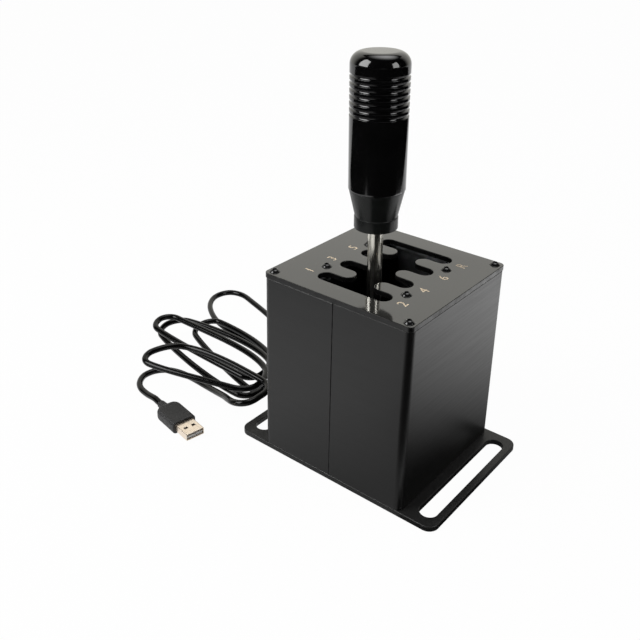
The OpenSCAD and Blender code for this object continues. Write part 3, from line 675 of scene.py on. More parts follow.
# Gear numbers: thin pale paint on the plate beside the slot ends, upright for the driver.
# One to seven, and the reverse mark in the last place.
number_h, number_w = 5.6 * mm, 4.2 * mm
number_y = 29.8 * mm
number_t = 0.03 * mm
stroke_trim, letter_half_t = 0.002, 0.5
paint = Finish("number_paint", specular=0.3)
paint.coloured(900, (0.72, 0.57, 0.40), (0.86, 0.73, 0.55))
paint.roughened(1200, 0.5, 0.7)
marks = [(mark, x, number_y) for mark, x in zip("1357", columns)]
marks += [(mark, x, -number_y) for mark, x in zip("246R", columns)]
for mark, x, y in marks:
    letter = bpy.data.curves.new("mark", "FONT")
    letter.body = mark
    letter.align_x, letter.align_y = "CENTER", "CENTER"
    letter.offset = stroke_trim
    letter.extrude = letter_half_t
    drawn = put_in_scene("gear_number_" + mark, letter)
    bpy.context.view_layer.update()
    mesh = bpy.data.meshes.new_from_object(drawn.evaluated_get(bpy.context.evaluated_depsgraph_get()))
    bpy.data.objects.remove(drawn)
    bpy.data.curves.remove(letter)
    corners = [Vector(v.co) for v in mesh.vertices]
    low = Vector((min(c.x for c in corners), min(c.y for c in corners)))
    high = Vector((max(c.x for c in corners), max(c.y for c in corners)))
    tall = number_h / (high.y - low.y)
    wide = min(tall, number_w / (high.x - low.x))
    for v in mesh.vertices:
        v.co = (x + (v.co.x - (low.x + high.x) / 2) * wide, y + (v.co.y - (low.y + high.y) / 2) * tall,
                plate_top + v.co.z * number_t)
    bm = bmesh.new()
    bm.from_mesh(mesh)
    bmesh.ops.remove_doubles(bm, verts=bm.verts, dist=weld_gap)
    bmesh.ops.recalc_face_normals(bm, faces=bm.faces)
    bm.to_mesh(mesh)
    bm.free()
    number = put_in_scene("gear_number_" + mark, mesh)
    number.data.materials.clear()
    number.data.materials.append(paint.material)
    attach(number, "housing")

# Button-head screws: domed heads with hexagon sockets, black oxide steel.
# Four hold the gate plate to the box at its corners, and four hold the frame under it.
head_d, head_h = 6 * mm, 1.7 * mm
socket_sides, socket_af, socket_depth = 6, 2.1 * mm, 1.1 * mm
shank_d, corner_shank_l, frame_shank_l = 3 * mm, 12 * mm, 8 * mm
head_points, shank_sides = 48, 24
rim_inset, rim_rise = 0.1 * mm, 0.12 * mm
dome_radii = (2.85, 2.6, 2.2, 1.8, 1.5)
lip_grow, lip_rise, lip_drop = 1.12, 0.1 * mm, 0.05 * mm
worn_rows = (1, 7)
screw_seed = 7


def button_head():
    """Domed head about the origin, with its seat at zero height and a chamfered hexagon socket."""
    dome_r = (head_d ** 2 / 4 + head_h ** 2) / (2 * head_h)
    rows = [(head_d / 2 - rim_inset, 0.0), (head_d / 2, rim_rise)]
    rows += [(r * mm, head_h - dome_r + math.sqrt(dome_r ** 2 - (r * mm) ** 2)) for r in dome_radii]
    bm = bmesh.new()
    flat_top = rows[-1][1]
    turn, side = full_turn(head_points), math.tau / socket_sides
    rings = [[bm.verts.new((r * math.cos(a), r * math.sin(a), z)) for a in turn] for r, z in rows]
    socket_rows = ((lip_grow, lip_rise), (1.0, -lip_drop), (1.0, -socket_depth))
    for grow, rise in socket_rows:
        ring = []
        for angle in turn:
            reach = socket_af / 2 / math.cos((angle + side / 2) % side - side / 2) * grow
            ring.append(bm.verts.new((reach * math.cos(angle), reach * math.sin(angle), flat_top + rise)))
        rings.append(ring)
    strips = {}
    for i, (low, high) in enumerate(zip(rings, rings[1:])):
        for k in range(head_points):
            m = (k + 1) % head_points
            strips[bm.faces.new((low[k], low[m], high[m], high[k]))] = 1.0 if i in worn_rows else 0.0
    for ring in (rings[0], rings[-1]):
        strips[bm.faces.new(ring)] = 0.0
    bmesh.ops.recalc_face_normals(bm, faces=bm.faces)
    values = [strips[f] for f in bm.faces]
    mesh = bpy.data.meshes.new("button_head")
    bm.to_mesh(mesh)
    bm.free()
    mark_edges(mesh, values, sharp=35)
    return put_in_scene("button_head", mesh)


def new_tree(name, inputs, output):
    """Empty tree with named inputs and one output, and the identifiers of its inputs."""
    tree = bpy.data.node_groups.new(name, "GeometryNodeTree")
    face = tree.interface
    sockets = {label: face.new_socket(label, in_out="INPUT", socket_type="NodeSocket" + kind).identifier
               for label, kind in inputs}
    face.new_socket(output, in_out="OUTPUT", socket_type="NodeSocketGeometry")
    return tree, sockets


def close_tree(tree, made, given, result):
    """Ends a tree: its instances become real and take the finish."""
    real = tree.nodes.new("GeometryNodeRealizeInstances")
    finished = tree.nodes.new("GeometryNodeSetMaterial")
    tree.links.new(made, real.inputs["Geometry"])
    tree.links.new(real.outputs["Geometry"], finished.inputs["Geometry"])
    tree.links.new(given.outputs["Finish"], finished.inputs["Material"])
    tree.links.new(finished.outputs["Geometry"], result.inputs[0])


def run_tree(piece, tree, sockets, values):
    """Puts a tree on a piece, sets its inputs by identifier and turns the result into a plain mesh."""
    setting = piece.modifiers.new(tree.name, "NODES")
    setting.node_group = tree
    for label, value in values:
        setting[sockets[label]] = value
    return settled(piece)


def screw_tree():
    """Sets a head and a shank on every point, each turned by chance about its own axis."""
    tree, sockets = new_tree("screw_set", (
        ("Seats", "Geometry"), ("Head", "Object"), ("Shank diameter", "Float"),
        ("Shank length", "Float"), ("Seed", "Int"), ("Finish", "Material")), "Screws")
    add, link = tree.nodes.new, tree.links.new
    given, result = add("NodeGroupInput"), add("NodeGroupOutput")
    head = add("GeometryNodeObjectInfo")
    link(given.outputs["Head"], head.inputs["Object"])
    shank = add("GeometryNodeMeshCylinder")
    shank.inputs["Vertices"].default_value = shank_sides
    link(math_node(tree, "MULTIPLY", given.outputs["Shank diameter"], 0.5), shank.inputs["Radius"])
    link(given.outputs["Shank length"], shank.inputs["Depth"])
    drop = add("ShaderNodeCombineXYZ")
    link(math_node(tree, "MULTIPLY", given.outputs["Shank length"], -0.5), drop.inputs["Z"])
    lowered = add("GeometryNodeTransform")
    link(shank.outputs["Mesh"], lowered.inputs["Geometry"])
    link(drop.outputs["Vector"], lowered.inputs["Translation"])
    screw = add("GeometryNodeJoinGeometry")
    link(lowered.outputs["Geometry"], screw.inputs["Geometry"])
    link(head.outputs["Geometry"], screw.inputs["Geometry"])
    chance = add("FunctionNodeRandomValue")
    chance.data_type = "FLOAT"
    chance.inputs[3].default_value = math.tau / socket_sides
    link(given.outputs["Seed"], chance.inputs["Seed"])
    turn = add("ShaderNodeCombineXYZ")
    link(chance.outputs[1], turn.inputs["Z"])
    placed = add("GeometryNodeInstanceOnPoints")
    link(given.outputs["Seats"], placed.inputs["Points"])
    link(screw.outputs["Geometry"], placed.inputs["Instance"])
    link(turn.outputs["Vector"], placed.inputs["Rotation"])
    close_tree(tree, placed.outputs["Instances"], given, result)
    return tree, sockets


head_model = button_head()
screws_tree, screw_sockets = screw_tree()
for name, node, seats, shank_l in (
        ("gate_corner_screws", "plate_corner_screws", corner_seats, corner_shank_l),
        ("gate_frame_screws", "frame_screws", frame_seats, frame_shank_l)):
    seat_mesh = bpy.data.meshes.new(name)
    seat_mesh.from_pydata([(x, y, plate_top) for x, y in seats], [], [])
    screws = put_in_scene(name, seat_mesh)
    run_tree(screws, screws_tree, screw_sockets, (
        ("Head", head_model), ("Shank diameter", shank_d), ("Shank length", shank_l),
        ("Seed", screw_seed), ("Finish", black_oxide.material)))
    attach(screws, "housing")
    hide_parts(node)
bpy.data.objects.remove(head_model)

# Frame: one folded steel sheet with a window under the gate and two cheeks, zinc plated.
# It hangs from the gate plate on four screws in pressed bosses, and carries the shaft and the guide rod.
zinc = Finish("frame_zinc_plate", metal=1.0)
zinc.coloured(150, (0.30, 0.31, 0.33), (0.46, 0.47, 0.49), 5.0)
zinc.roughened(320, 0.3, 0.5)
zinc.textured(1800, 0.01 * mm, 0.4)
dress("mechanism_frame", zinc)

# Shaft and guide rod: ground steel bars across the frame, along which the carriage slides.
# Retaining clips of spring steel snap into a groove near each end.
ground = Finish("rod_ground_steel", metal=1.0)
ground.coloured((60, 900, 900), (0.46, 0.46, 0.47), (0.58, 0.58, 0.59))
ground.roughened((2400, 90, 90), 0.14, 0.26)
ground.textured((5200, 120, 120), 0.004 * mm, 0.4)
spring_steel = Finish("clip_spring_steel", metal=1.0)
spring_steel.coloured(500, (0.16, 0.16, 0.17), (0.26, 0.26, 0.27))
spring_steel.roughened(900, 0.28, 0.42)
for node, finish in (("select_shaft", ground), ("guide_rod", ground),
                     ("shaft_clips", spring_steel), ("guide_clips", spring_steel)):
    dress(node, finish)

# Control board: glass-fibre sheet with green solder mask over copper traces, on four brass pillars.
# A sensor stands under each column of gears, with the chip and the socket of the lead beside them.
brass = Finish("pillar_brass", metal=1.0)
brass.coloured(300, (0.55, 0.40, 0.16), (0.68, 0.52, 0.24))
brass.roughened((120, 120, 2600), 0.2, 0.35)
solder_mask = Finish("board_solder_mask", specular=0.5)
traces = solder_mask.nodes.new("ShaderNodeTexBrick")
for socket, value in (("Scale", 1.0), ("Mortar Size", 0.06), ("Brick Width", 1.7), ("Row Height", 0.6)):
    traces.inputs[socket].default_value = value
solder_mask.links.new(solder_mask.stretched(260), traces.inputs["Vector"])
solder_mask.colour(solder_mask.tint(traces.outputs["Fac"], (0.008, 0.085, 0.03), (0.02, 0.15, 0.06)))
solder_mask.roughened(500, 0.25, 0.4)
solder_mask.relief(traces.outputs["Fac"], 0.02 * mm, 0.6)
chip_case = Finish("chip_moulded_epoxy", specular=0.4)
chip_case.coloured(700, (0.008, 0.008, 0.008), (0.016, 0.016, 0.016))
chip_case.roughened(1500, 0.5, 0.7)
chip_case.textured(5000, 0.01 * mm, 0.5)
socket_nylon = Finish("socket_nylon", specular=0.4)
socket_nylon.coloured(250, (0.58, 0.57, 0.52), (0.68, 0.67, 0.62))
socket_nylon.roughened(900, 0.45, 0.6)
for node, finish in (
        ("board_spacers", brass), ("control_board", solder_mask), ("board_screws", zinc),
        ("hall_sensors", chip_case), ("control_chip", chip_case), ("board_connector", socket_nylon)):
    dress(node, finish)

# Inner lead: the cord's end inside the box, stripped a little way back from the socket.
# Four thin insulated wires leave the sheath side by side and enter the socket.
inner_from, inner_to = Vector((25, 42, 24.5)) * mm, Vector((25, 24, 24.5)) * mm
strip_y = 31 * mm
wire_d, wire_pitch = 1.2 * mm, 2 * mm
inner_step = 0.8 * mm
wire_sides, wire_shade = 12, 0.8
wire_tuck, wire_grip, wire_fan_l = 1 * mm, 0.5 * mm, 3.5 * mm
bundled, fanned = 0.35, 0.85
wire_tones = {
    "red": (0.45, 0.02, 0.02), "white": (0.7, 0.7, 0.68),
    "green": (0.02, 0.25, 0.06), "black": (0.01, 0.01, 0.01),
}
sheath_end = evenly([inner_from, Vector((inner_from.x, strip_y, inner_from.z))], inner_step)
inner_cord = tube("inner_cord", sheath_end, cord_d / 2, cord_sides)
inner_cord.data.materials.append(sheath.material)
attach(inner_cord, "housing")
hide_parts("inner_lead")
for k, (wire_name, tone) in enumerate(wire_tones.items()):
    offset = (k - (len(wire_tones) - 1) / 2) * wire_pitch
    wire_route = [
        Vector((inner_from.x + offset * bundled, strip_y + wire_tuck, inner_from.z)),
        Vector((inner_from.x + offset * bundled, strip_y - wire_grip, inner_from.z)),
        Vector((inner_from.x + offset * fanned, strip_y - wire_fan_l, inner_from.z)),
        Vector((inner_from.x + offset, inner_to.y + wire_tuck, inner_from.z)),
        Vector((inner_from.x + offset, inner_to.y, inner_from.z))]
    wire_line = evenly(smooth_route(wire_route), inner_step / 2)
    wire = tube("inner_wire_" + wire_name, wire_line, wire_d / 2, wire_sides)
    insulation = Finish("wire_insulation_" + wire_name, specular=0.5, map_name="sheath")
    insulation.coloured((200, 4, 1), tuple(c * wire_shade for c in tone), tone)
    insulation.roughened((400, 6, 1), 0.3, 0.45)
    wire.data.materials.append(insulation.material)
    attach(wire, "housing")

# Gland: soft black rubber moulded on the cord, with a flange on each side of the back wall
# and a tapered sleeve cut by rings, so that it can bend.
gland_x, gland_z, wall_y = 25 * mm, 24.5 * mm, 47 * mm
gland_sides = 48
gland_profile = [
    (5.5, -5), (5.5, -3.2), (5.3, -3), (4, -3), (4, 0), (5.8, 0), (6, 0.2), (6, 1.6), (5.6, 2), (4.3, 2),
]
sleeve_from, sleeve_l, sleeve_r0, sleeve_r1 = 2, 13, 4, 2.8
ring_count, ring_w, ring_floor_r = 3, 1, 2.4
for k in range(1, ring_count + 1):
    for side, radius in ((-0.5, None), (-0.5, ring_floor_r), (0.5, ring_floor_r), (0.5, None)):
        along = k * sleeve_l / (ring_count + 1) + side * ring_w
        taper_r = sleeve_r0 + (sleeve_r1 - sleeve_r0) * along / sleeve_l
        gland_profile.append((radius or taper_r, sleeve_from + along))
sleeve_end, sleeve_edge = sleeve_from + sleeve_l, 0.2
gland_profile += [(sleeve_r1, sleeve_end - sleeve_edge), (sleeve_r1 - sleeve_edge, sleeve_end)]


def turned(name, profile, sides, place, strip_rows=()):
    """Closed turned solid from a profile of radius and height in millimetres, put in its place."""
    sections = [[place @ Vector((r * mm * math.cos(a), r * mm * math.sin(a), z * mm))
                 for a in full_turn(sides)] for r, z in profile]
    return lofted(name, sections, strip_rows)


gland = turned("cord_gland_rubber", gland_profile, gland_sides,
               Matrix.Translation((gland_x, wall_y, gland_z)) @ Matrix.Rotation(math.radians(-90), 4, "X"))
rubber = Finish("gland_rubber", specular=0.35)
rubber.coloured(300, (0.007, 0.007, 0.007), (0.014, 0.014, 0.014))
rubber.roughened(700, 0.5, 0.68)
rubber.textured(3000, 0.02 * mm, 0.5)
gland.data.materials.append(rubber.material)
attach(gland, "housing")
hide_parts("cord_gland")

# Carriage: a fork milled from black acetal that slides along the shaft on two flanged bronze bushes.
# The guide rod keeps it upright, its track holds the lever in gear, and a magnet sits under it.
acetal = Finish("carriage_acetal", specular=0.4)
acetal.coloured(90, (0.008, 0.008, 0.008), (0.015, 0.015, 0.0155))
acetal.roughened((1200, 90, 1200), 0.35, 0.5)
acetal.textured((3000, 120, 3000), 0.01 * mm, 0.4)
bronze = Finish("bush_sintered_bronze", metal=1.0)
bronze.coloured(1400, (0.30, 0.19, 0.08), (0.46, 0.31, 0.14))
bronze.roughened(900, 0.4, 0.6)
bronze.textured(4200, 0.015 * mm, 0.5)
magnet = Finish("magnet_nickel", metal=1.0)
magnet.coloured(300, (0.5, 0.5, 0.5), (0.62, 0.62, 0.61))
magnet.roughened(800, 0.15, 0.3)
for node, finish in (("carriage", acetal), ("carriage_bushes", bronze), ("select_magnet", magnet)):
    dress(node, finish)

# Lever: a chromed steel rod screwed into a milled aluminium hub that tilts on the shaft.
# A plated nut locks the rod, and a spring plunger in the hub's tail rides over the carriage's track.
lever_x, shaft_z = -9.7 * mm, 60 * mm
lever_lean = math.radians(1.15)
rod_from, rod_to, rod_r, rod_chamfer = 21.2, 145.1, 4.0, 0.4
rod_sides = 64
on_lever = Matrix.Translation((lever_x, 0, shaft_z)) @ Matrix.Rotation(-lever_lean, 4, "X")
rod_profile = [
    (rod_r - rod_chamfer, rod_from), (rod_r, rod_from + rod_chamfer),
    (rod_r, rod_to - rod_chamfer), (rod_r - rod_chamfer, rod_to),
]
rod = turned("lever_rod_chrome", rod_profile, rod_sides, on_lever)
chrome = Finish("rod_chrome", metal=1.0)
chrome.coloured((200, 200, 60), (0.68, 0.66, 0.60), (0.75, 0.73, 0.66))
chrome.roughened((200, 200, 20), 0.19, 0.23)
chrome.textured((1500, 1500, 20), 0.001 * mm, 0.2)
rod.data.materials.append(chrome.material)
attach(rod, "lever")
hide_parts("lever_rod")
milled = Finish("hub_milled_aluminium", metal=1.0)
milled.coloured(100, (0.42, 0.42, 0.43), (0.55, 0.55, 0.56))
milled.roughened((120, 2200, 120), 0.25, 0.42)
milled.textured((150, 3600, 150), 0.01 * mm, 0.4)
for node, finish in (("lever_hub", milled), ("rod_nut", zinc), ("detent_plunger", ground)):
    dress(node, finish)

# Knob collar: turned aluminium cone and band under the knob, anodised in a satin dark grey.
# Fine turning marks run round it, and it is screwed up against the knob's foot.
band_z, cone_z, knob_z = 79.1, 85.7, 100.3
band_r, cone_r0, cone_r1 = 11.5, 11.2, 14.5
bore_r = rod_r + 0.05
collar_worn_rows = (1, 2, 4, 5, 8)
knob_sides = 128
collar_profile = [
    (bore_r, band_z), (band_r - 0.5, band_z), (band_r - 0.15, band_z + 0.15), (band_r, band_z + 0.5),
    (band_r, cone_z - 0.35), (band_r - 0.1, cone_z - 0.1), (band_r - 0.3, cone_z), (cone_r0, cone_z + 0.25),
    (cone_r1 - 0.06, knob_z - 0.3), (cone_r1 - 0.3, knob_z), (bore_r, knob_z),
]
collar = turned("knob_collar_satin", collar_profile, knob_sides, on_lever, collar_worn_rows)
satin = Finish("collar_satin_anodised", specular=0.19)
satin_tone = satin.mottled((60, 60, 500), (0.006, 0.0068, 0.0064), (0.0085, 0.0094, 0.0089))
satin.worn(satin_tone, (0.03, 0.031, 0.03))
satin.roughened((80, 80, 1200), 0.2, 0.26)
satin.textured((60, 60, 2600), 0.003 * mm, 0.25)
collar.data.materials.append(satin.material)
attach(collar, "lever")
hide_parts("knob_collar")

# Knob: turned from aluminium bar, slightly tapered, with a rounded top edge and seven ring grooves.
# It is polished and anodised glossy black, and screwed on the rod.
knob_h, knob_foot_r, knob_r, top_edge_r = 70.0, 14.8, 15.05, 6.4
groove_count, groove_pitch, groove_r, groove_depth, groove_top = 7, 3.25, 0.9, 0.8, 11.2
knob_top = knob_z + knob_h
groove_half = math.sqrt(groove_r ** 2 - (groove_r - groove_depth) ** 2)
groove_rows = (-1.12, -1.0, -0.92, -0.75, -0.5, -0.25, 0, 0.25, 0.5, 0.75, 0.92, 1.0, 1.12)
plain_rows, edge_rows, knob_worn_rows = 16, 14, (1, 2)
foot_clear, groove_clear = 1, 1.3
top_inset, top_middle_r = 3, 3


def knob_side(z):
    return knob_foot_r + (knob_r - knob_foot_r) * (z - knob_z) / (knob_h - top_edge_r)


knob_profile = [(bore_r, knob_z), (knob_foot_r - 0.35, knob_z), (knob_foot_r - 0.1, knob_z + 0.12),
                (knob_foot_r, knob_z + 0.45)]
groove_zone = knob_top - groove_top - (groove_count - 1) * groove_pitch - groove_half * groove_clear
knob_profile += [(knob_side(z), z) for z in (
    knob_z + foot_clear + (groove_zone - knob_z - foot_clear) * k / plain_rows
    for k in range(plain_rows + 1))]
for k in range(groove_count - 1, -1, -1):
    middle = knob_top - groove_top - k * groove_pitch
    knob_profile += [(knob_side(z), z) for z in (middle + row * groove_half for row in groove_rows)]
knob_profile += [(knob_r - top_edge_r * (1 - math.cos(a)), knob_top - top_edge_r * (1 - math.sin(a)))
                 for a in quarter_turn(edge_rows)]
knob_profile += [(knob_r - top_edge_r - top_inset, knob_top), (top_middle_r, knob_top)]


def groove_tree():
    """Presses ring grooves of round section into an upright turned piece."""
    tree, sockets = new_tree("ring_grooves", (
        ("Piece", "Geometry"), ("First groove height", "Float"), ("Groove pitch", "Float"),
        ("Last groove index", "Float"), ("Groove radius", "Float"), ("Groove depth", "Float"),
        ("Finish", "Material")), "Grooved piece")
    add, link, work = tree.nodes.new, tree.links.new, partial(math_node, tree)
    given, result = add("NodeGroupInput"), add("NodeGroupOutput")
    where, parts = add("GeometryNodeInputPosition"), add("ShaderNodeSeparateXYZ")
    link(where.outputs["Position"], parts.inputs["Vector"])
    fallen = work("SUBTRACT", given.outputs["First groove height"], parts.outputs["Z"])
    nearest = work("ROUND", work("DIVIDE", fallen, given.outputs["Groove pitch"]))
    nearest = work("MAXIMUM", work("MINIMUM", nearest, given.outputs["Last groove index"]), 0.0)
    off = work("SUBTRACT", fallen, work("MULTIPLY", nearest, given.outputs["Groove pitch"]))
    radius = given.outputs["Groove radius"]
    chord = work("SUBTRACT", work("MULTIPLY", radius, radius), work("MULTIPLY", off, off))
    rise = work("SQRT", work("MAXIMUM", chord, 0.0))
    cut = work("ADD", work("SUBTRACT", rise, radius), given.outputs["Groove depth"])
    cut = work("MAXIMUM", cut, 0.0)
    level = add("ShaderNodeCombineXYZ")
    outward, inward = add("ShaderNodeVectorMath"), add("ShaderNodeVectorMath")
    link(parts.outputs["X"], level.inputs["X"])
    link(parts.outputs["Y"], level.inputs["Y"])
    outward.operation, inward.operation = "NORMALIZE", "SCALE"
    link(level.outputs["Vector"], outward.inputs[0])
    link(outward.outputs["Vector"], inward.inputs[0])
    link(work("MULTIPLY", cut, -1.0), inward.inputs["Scale"])
    moved = add("GeometryNodeSetPosition")
    link(given.outputs["Piece"], moved.inputs["Geometry"])
    link(inward.outputs["Vector"], moved.inputs["Offset"])
    close_tree(tree, moved.outputs["Geometry"], given, result)
    return tree, sockets


polished = Finish("knob_gloss_anodised", specular=0.6)
polished_tone = polished.mottled(120, (0.0012, 0.0012, 0.0013), (0.0035, 0.0035, 0.0037))
polished.worn(polished_tone, (0.02, 0.02, 0.021))
polished.roughened((70, 70, 1500), 0.07, 0.11)
polished.textured((50, 50, 4500), 0.004 * mm, 0.3)
knob = turned("knob_gloss_black", knob_profile, knob_sides, Matrix.Identity(4), knob_worn_rows)
grooved_tree, groove_sockets = groove_tree()
run_tree(knob, grooved_tree, groove_sockets, (
    ("First groove height", (knob_top - groove_top) * mm), ("Groove pitch", groove_pitch * mm),
    ("Last groove index", groove_count - 1), ("Groove radius", groove_r * mm),
    ("Groove depth", groove_depth * mm), ("Finish", polished.material)))
knob.data.transform(on_lever)
knob.data.update()
weigh_normals(knob)
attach(knob, "lever")
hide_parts("knob_body")

# Studio: a pale floor that runs on into a white surround, lit by two lamps that leave no reflection.
# Soft boxes, light panels and dark cards show in reflections alone, and give the black sides their form.
# Places are given along the floor towards the camera, to its right, and up.
ambient = 0.38
floor_white_share = 0.975
floor_half, floor_drop = 4.0, 0.2 * mm
card_z, overhead_z = 0.1 * mm, 1.2
right_panel_fade, left_panel_fade = (0.055, 0.23, 0.0, 1.9), (0.035, 0.125, 0.45, 0.95)
left_panel_run = Vector((-0.8, 0.6, 0))
overhead_fade = (0.0, 0.65, 4.0, 0.0)
white_below_zenith = (0.72, 1.0, 1.0, 0.03)
white_behind_object = (0.2, 0.6, 0.0, 1.0)
mirrored_white, plain_white = (1.0, 0.985, 0.92), (1, 1, 1)
paper_grey, paper_roughness = (0.85, 0.85, 0.85, 1), 0.9
felt_black = (0.004, 0.004, 0.004, 1)
softbox_strengths = {"left": 7.5, "right": 5.0}
plate_strength = 2.2
knob_middle = Vector((-0.01, 0.0, 0.18))
lamp_reach, lamp_height = 0.8, 0.6
toward = Vector((to_camera.x, to_camera.y, 0)).normalized()


def in_studio(ahead, aside, above):
    """Point given along the floor towards the camera, to its right, and up."""
    return toward * ahead + level_right * aside + Vector((0, 0, above))


def seen_rays(tree):
    """One where a ray comes from the camera, a mirror-like surface or glass."""
    path = tree.nodes.new("ShaderNodeLightPath")
    total = path.outputs["Is Camera Ray"]
    for name in ("Is Glossy Ray", "Is Transmission Ray"):
        total = math_node(tree, "MAXIMUM", total, path.outputs[name])
    return total


world = bpy.data.worlds.new("studio_surround")
bpy.context.scene.world = world
world.use_nodes = True
sky = world.node_tree
soft_sky, white_sky = sky.nodes["Background"], sky.nodes.new("ShaderNodeBackground")
soft_sky.inputs["Color"].default_value = (ambient, ambient, ambient, 1)
look, dome_mix = sky.nodes.new("ShaderNodeTexCoord"), sky.nodes.new("ShaderNodeMixShader")
whiteness = []
for along, white_range in ((Vector((0, 0, 1)), white_below_zenith), (-toward, white_behind_object)):
    reach, fade = sky.nodes.new("ShaderNodeVectorMath"), sky.nodes.new("ShaderNodeMapRange")
    reach.operation, reach.inputs[1].default_value = "DOT_PRODUCT", along
    fade.interpolation_type = "SMOOTHSTEP"
    set_range(fade, *white_range)
    sky.links.new(look.outputs["Generated"], reach.inputs[0])
    sky.links.new(reach.outputs["Value"], fade.inputs["Value"])
    whiteness.append(fade.outputs["Result"])
to_lens = sky.nodes.new("ShaderNodeLightPath").outputs["Is Camera Ray"]
shown_white = math_node(sky, "MAXIMUM", to_lens, math_node(sky, "MULTIPLY", *whiteness))
sky.links.new(shown_white, white_sky.inputs["Strength"])
sky.links.new(mixed(sky, to_lens, mirrored_white, plain_white), white_sky.inputs["Color"])
sky.links.new(seen_rays(sky), dome_mix.inputs["Fac"])
sky.links.new(soft_sky.outputs["Background"], dome_mix.inputs[1])
sky.links.new(white_sky.outputs["Background"], dome_mix.inputs[2])
sky.links.new(dome_mix.outputs["Shader"], sky.nodes["World Output"].inputs["Surface"])

floor_mesh = bpy.data.meshes.new("studio_floor")
floor_mesh.from_pydata([(x * floor_half, y * floor_half, -floor_drop)
                        for x, y in ((-1, -1), (1, -1), (1, 1), (-1, 1))], [], [(0, 1, 2, 3)])
floor = put_in_scene("studio_floor", floor_mesh)
floor_paper = bpy.data.materials.new("floor_pale_paper")
floor_paper.use_nodes = True
paper = floor_paper.node_tree
sheet = paper.nodes["Principled BSDF"]
sheet.inputs["Base Color"].default_value = paper_grey
sheet.inputs["Roughness"].default_value = paper_roughness
sheet.inputs["Specular IOR Level"].default_value = 0.0
glow, paper_mix = paper.nodes.new("ShaderNodeEmission"), paper.nodes.new("ShaderNodeMixShader")
white_share = math_node(paper, "MULTIPLY", seen_rays(paper), floor_white_share)
paper.links.new(white_share, paper_mix.inputs["Fac"])
paper.links.new(sheet.outputs["BSDF"], paper_mix.inputs[1])
paper.links.new(glow.outputs["Emission"], paper_mix.inputs[2])
paper.links.new(paper_mix.outputs["Shader"], paper.nodes["Material Output"].inputs["Surface"])
floor_mesh.materials.append(floor_paper)

card_black = bpy.data.materials.new("card_black_felt")
card_black.use_nodes = True
felt = card_black.node_tree.nodes["Principled BSDF"]
felt.inputs["Base Color"].default_value = felt_black
felt.inputs["Specular IOR Level"].default_value = 0.0


def light_skin(name, strength=1.0):
    """Material that gives light alone, and the node that gives it."""
    skin = bpy.data.materials.new(name)
    skin.use_nodes = True
    light = skin.node_tree.nodes.new("ShaderNodeEmission")
    light.inputs["Strength"].default_value = strength
    output = skin.node_tree.nodes["Material Output"]
    skin.node_tree.links.new(light.outputs["Emission"], output.inputs["Surface"])
    return skin, light


def fading_light(name, operation, mark, limits, blend="LINEAR"):
    """Light whose strength follows the run along a direction, or the distance from a point."""
    skin, light = light_skin(name)
    add, link = skin.node_tree.nodes.new, skin.node_tree.links.new
    place, run, fade = add("ShaderNodeTexCoord"), add("ShaderNodeVectorMath"), add("ShaderNodeMapRange")
    run.operation, run.inputs[1].default_value = operation, mark
    fade.interpolation_type = blend
    set_range(fade, *limits)
    link(place.outputs["Object"], run.inputs[0])
    link(run.outputs["Value"], fade.inputs["Value"])
    link(fade.outputs["Result"], light.inputs["Strength"])
    return skin


right_glow = fading_light("panel_light_right", "DOT_PRODUCT", level_right, right_panel_fade)
left_glow = fading_light("panel_light_left", "DOT_PRODUCT", left_panel_run, left_panel_fade)
softbox_glow = {}
for side_name, strength in softbox_strengths.items():
    softbox_glow[side_name] = light_skin("softbox_light_" + side_name, strength)[0]
overhead_glow = fading_light("softbox_light_overhead", "DISTANCE", in_studio(-0.3, 0.15, overhead_z),
                             overhead_fade, "SMOOTHSTEP")
plate_glow, plate_light = light_skin("plate_panel_light", plate_strength)
plate_nodes, plate_links = plate_glow.node_tree.nodes, plate_glow.node_tree.links
clear, clear_and_light = plate_nodes.new("ShaderNodeBsdfTransparent"), plate_nodes.new("ShaderNodeAddShader")
plate_links.new(clear.outputs["BSDF"], clear_and_light.inputs[0])
plate_links.new(plate_light.outputs["Emission"], clear_and_light.inputs[1])
plate_links.new(clear_and_light.outputs["Shader"], plate_nodes["Material Output"].inputs["Surface"])

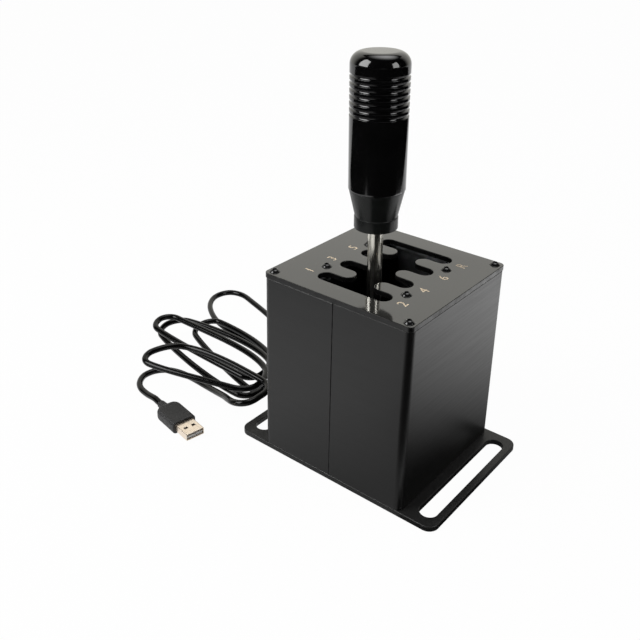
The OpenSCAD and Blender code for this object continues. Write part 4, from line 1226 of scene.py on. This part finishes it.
# What a card lights: everything, everything but the gate plate, or the gate plate alone
plate_kept_dark = bpy.data.collections.new("plate_kept_dark")
plate_kept_dark.objects.link(gate)
plate_kept_dark.collection_objects[0].light_linking.link_state = "EXCLUDE"
plate_alone = bpy.data.collections.new("plate_alone")
plate_alone.objects.link(gate)
for card_name, low, high, skin, lit in (
        ("plate_panel_left", (-0.36, -0.74, 0.3), (0.5, -0.74, 0.7), plate_glow, plate_alone),
        ("plate_panel_right", (0.03, 0.74, 0.3), (0.76, 0.74, 0.7), plate_glow, plate_alone),
        ("card_front", (0.1, -0.09, card_z), (4.0, 0.45, card_z), card_black, None),
        ("card_front_left", (0.34, -4.0, card_z), (4.0, -0.09, card_z), card_black, None),
        ("card_left", (-0.35, -4.0, card_z), (0.34, -0.34, card_z), card_black, None),
        ("card_right", (-0.6, 0.45, card_z), (4.0, 4.0, card_z), card_black, None),
        ("softbox_left", (0.02, -0.75, 0.28), (0.6, -0.75, 1.25), softbox_glow["left"], plate_kept_dark),
        ("softbox_right", (0.3, 0.75, 0.25), (0.78, 0.75, 0.9), softbox_glow["right"], plate_kept_dark),
        ("softbox_overhead", (-0.95, -0.55, overhead_z), (0.35, 0.85, overhead_z), overhead_glow, None),
        ("panel_left_of_box", (-0.35, -0.34, card_z), (0.1, 0.006, card_z), left_glow, None),
        ("panel_beside_box", (-0.16, 0.006, card_z), (0.085, 0.45, card_z), right_glow, None)):
    first, second = (axis for axis in range(3) if low[axis] != high[axis])
    corners = [list(low), list(low), list(high), list(low)]
    corners[1][first], corners[3][second] = high[first], high[second]
    card_mesh = bpy.data.meshes.new(card_name)
    card_mesh.from_pydata([in_studio(*corner) for corner in corners], [], [(0, 1, 2, 3)])
    card_mesh.materials.append(skin)
    card = put_in_scene(card_name, card_mesh)
    card.visible_camera = card.visible_diffuse = card.visible_shadow = card.visible_transmission = False
    if lit is not None:
        card.light_linking.receiver_collection = lit


def lamp(name, place, aim, width, height, radiance):
    """Rectangular light of the given radiance, turned from its place towards what it lights."""
    data = bpy.data.lights.new(name, "AREA")
    data.shape, data.size, data.size_y = "RECTANGLE", width, height
    data.energy = radiance * math.pi * width * height
    light = bpy.data.objects.new(name, data)
    turned_to = (aim - place).to_track_quat("-Z", "Y").to_matrix().to_4x4()
    light.matrix_world = Matrix.Translation(place) @ turned_to
    light.visible_camera = light.visible_glossy = False
    bpy.context.scene.collection.objects.link(light)


for lamp_name, place, width, radiance in (
        ("lamp_left", in_studio(0.22, -0.72, 0.66), 0.3, 8.0),
        ("lamp_right", in_studio(0.15, 0.755, 0.64), 0.15, 3.0)):
    lamp(lamp_name, knob_middle + place * lamp_reach, knob_middle, width, lamp_height, radiance)
bpy.context.scene.view_settings.view_transform = "Standard"
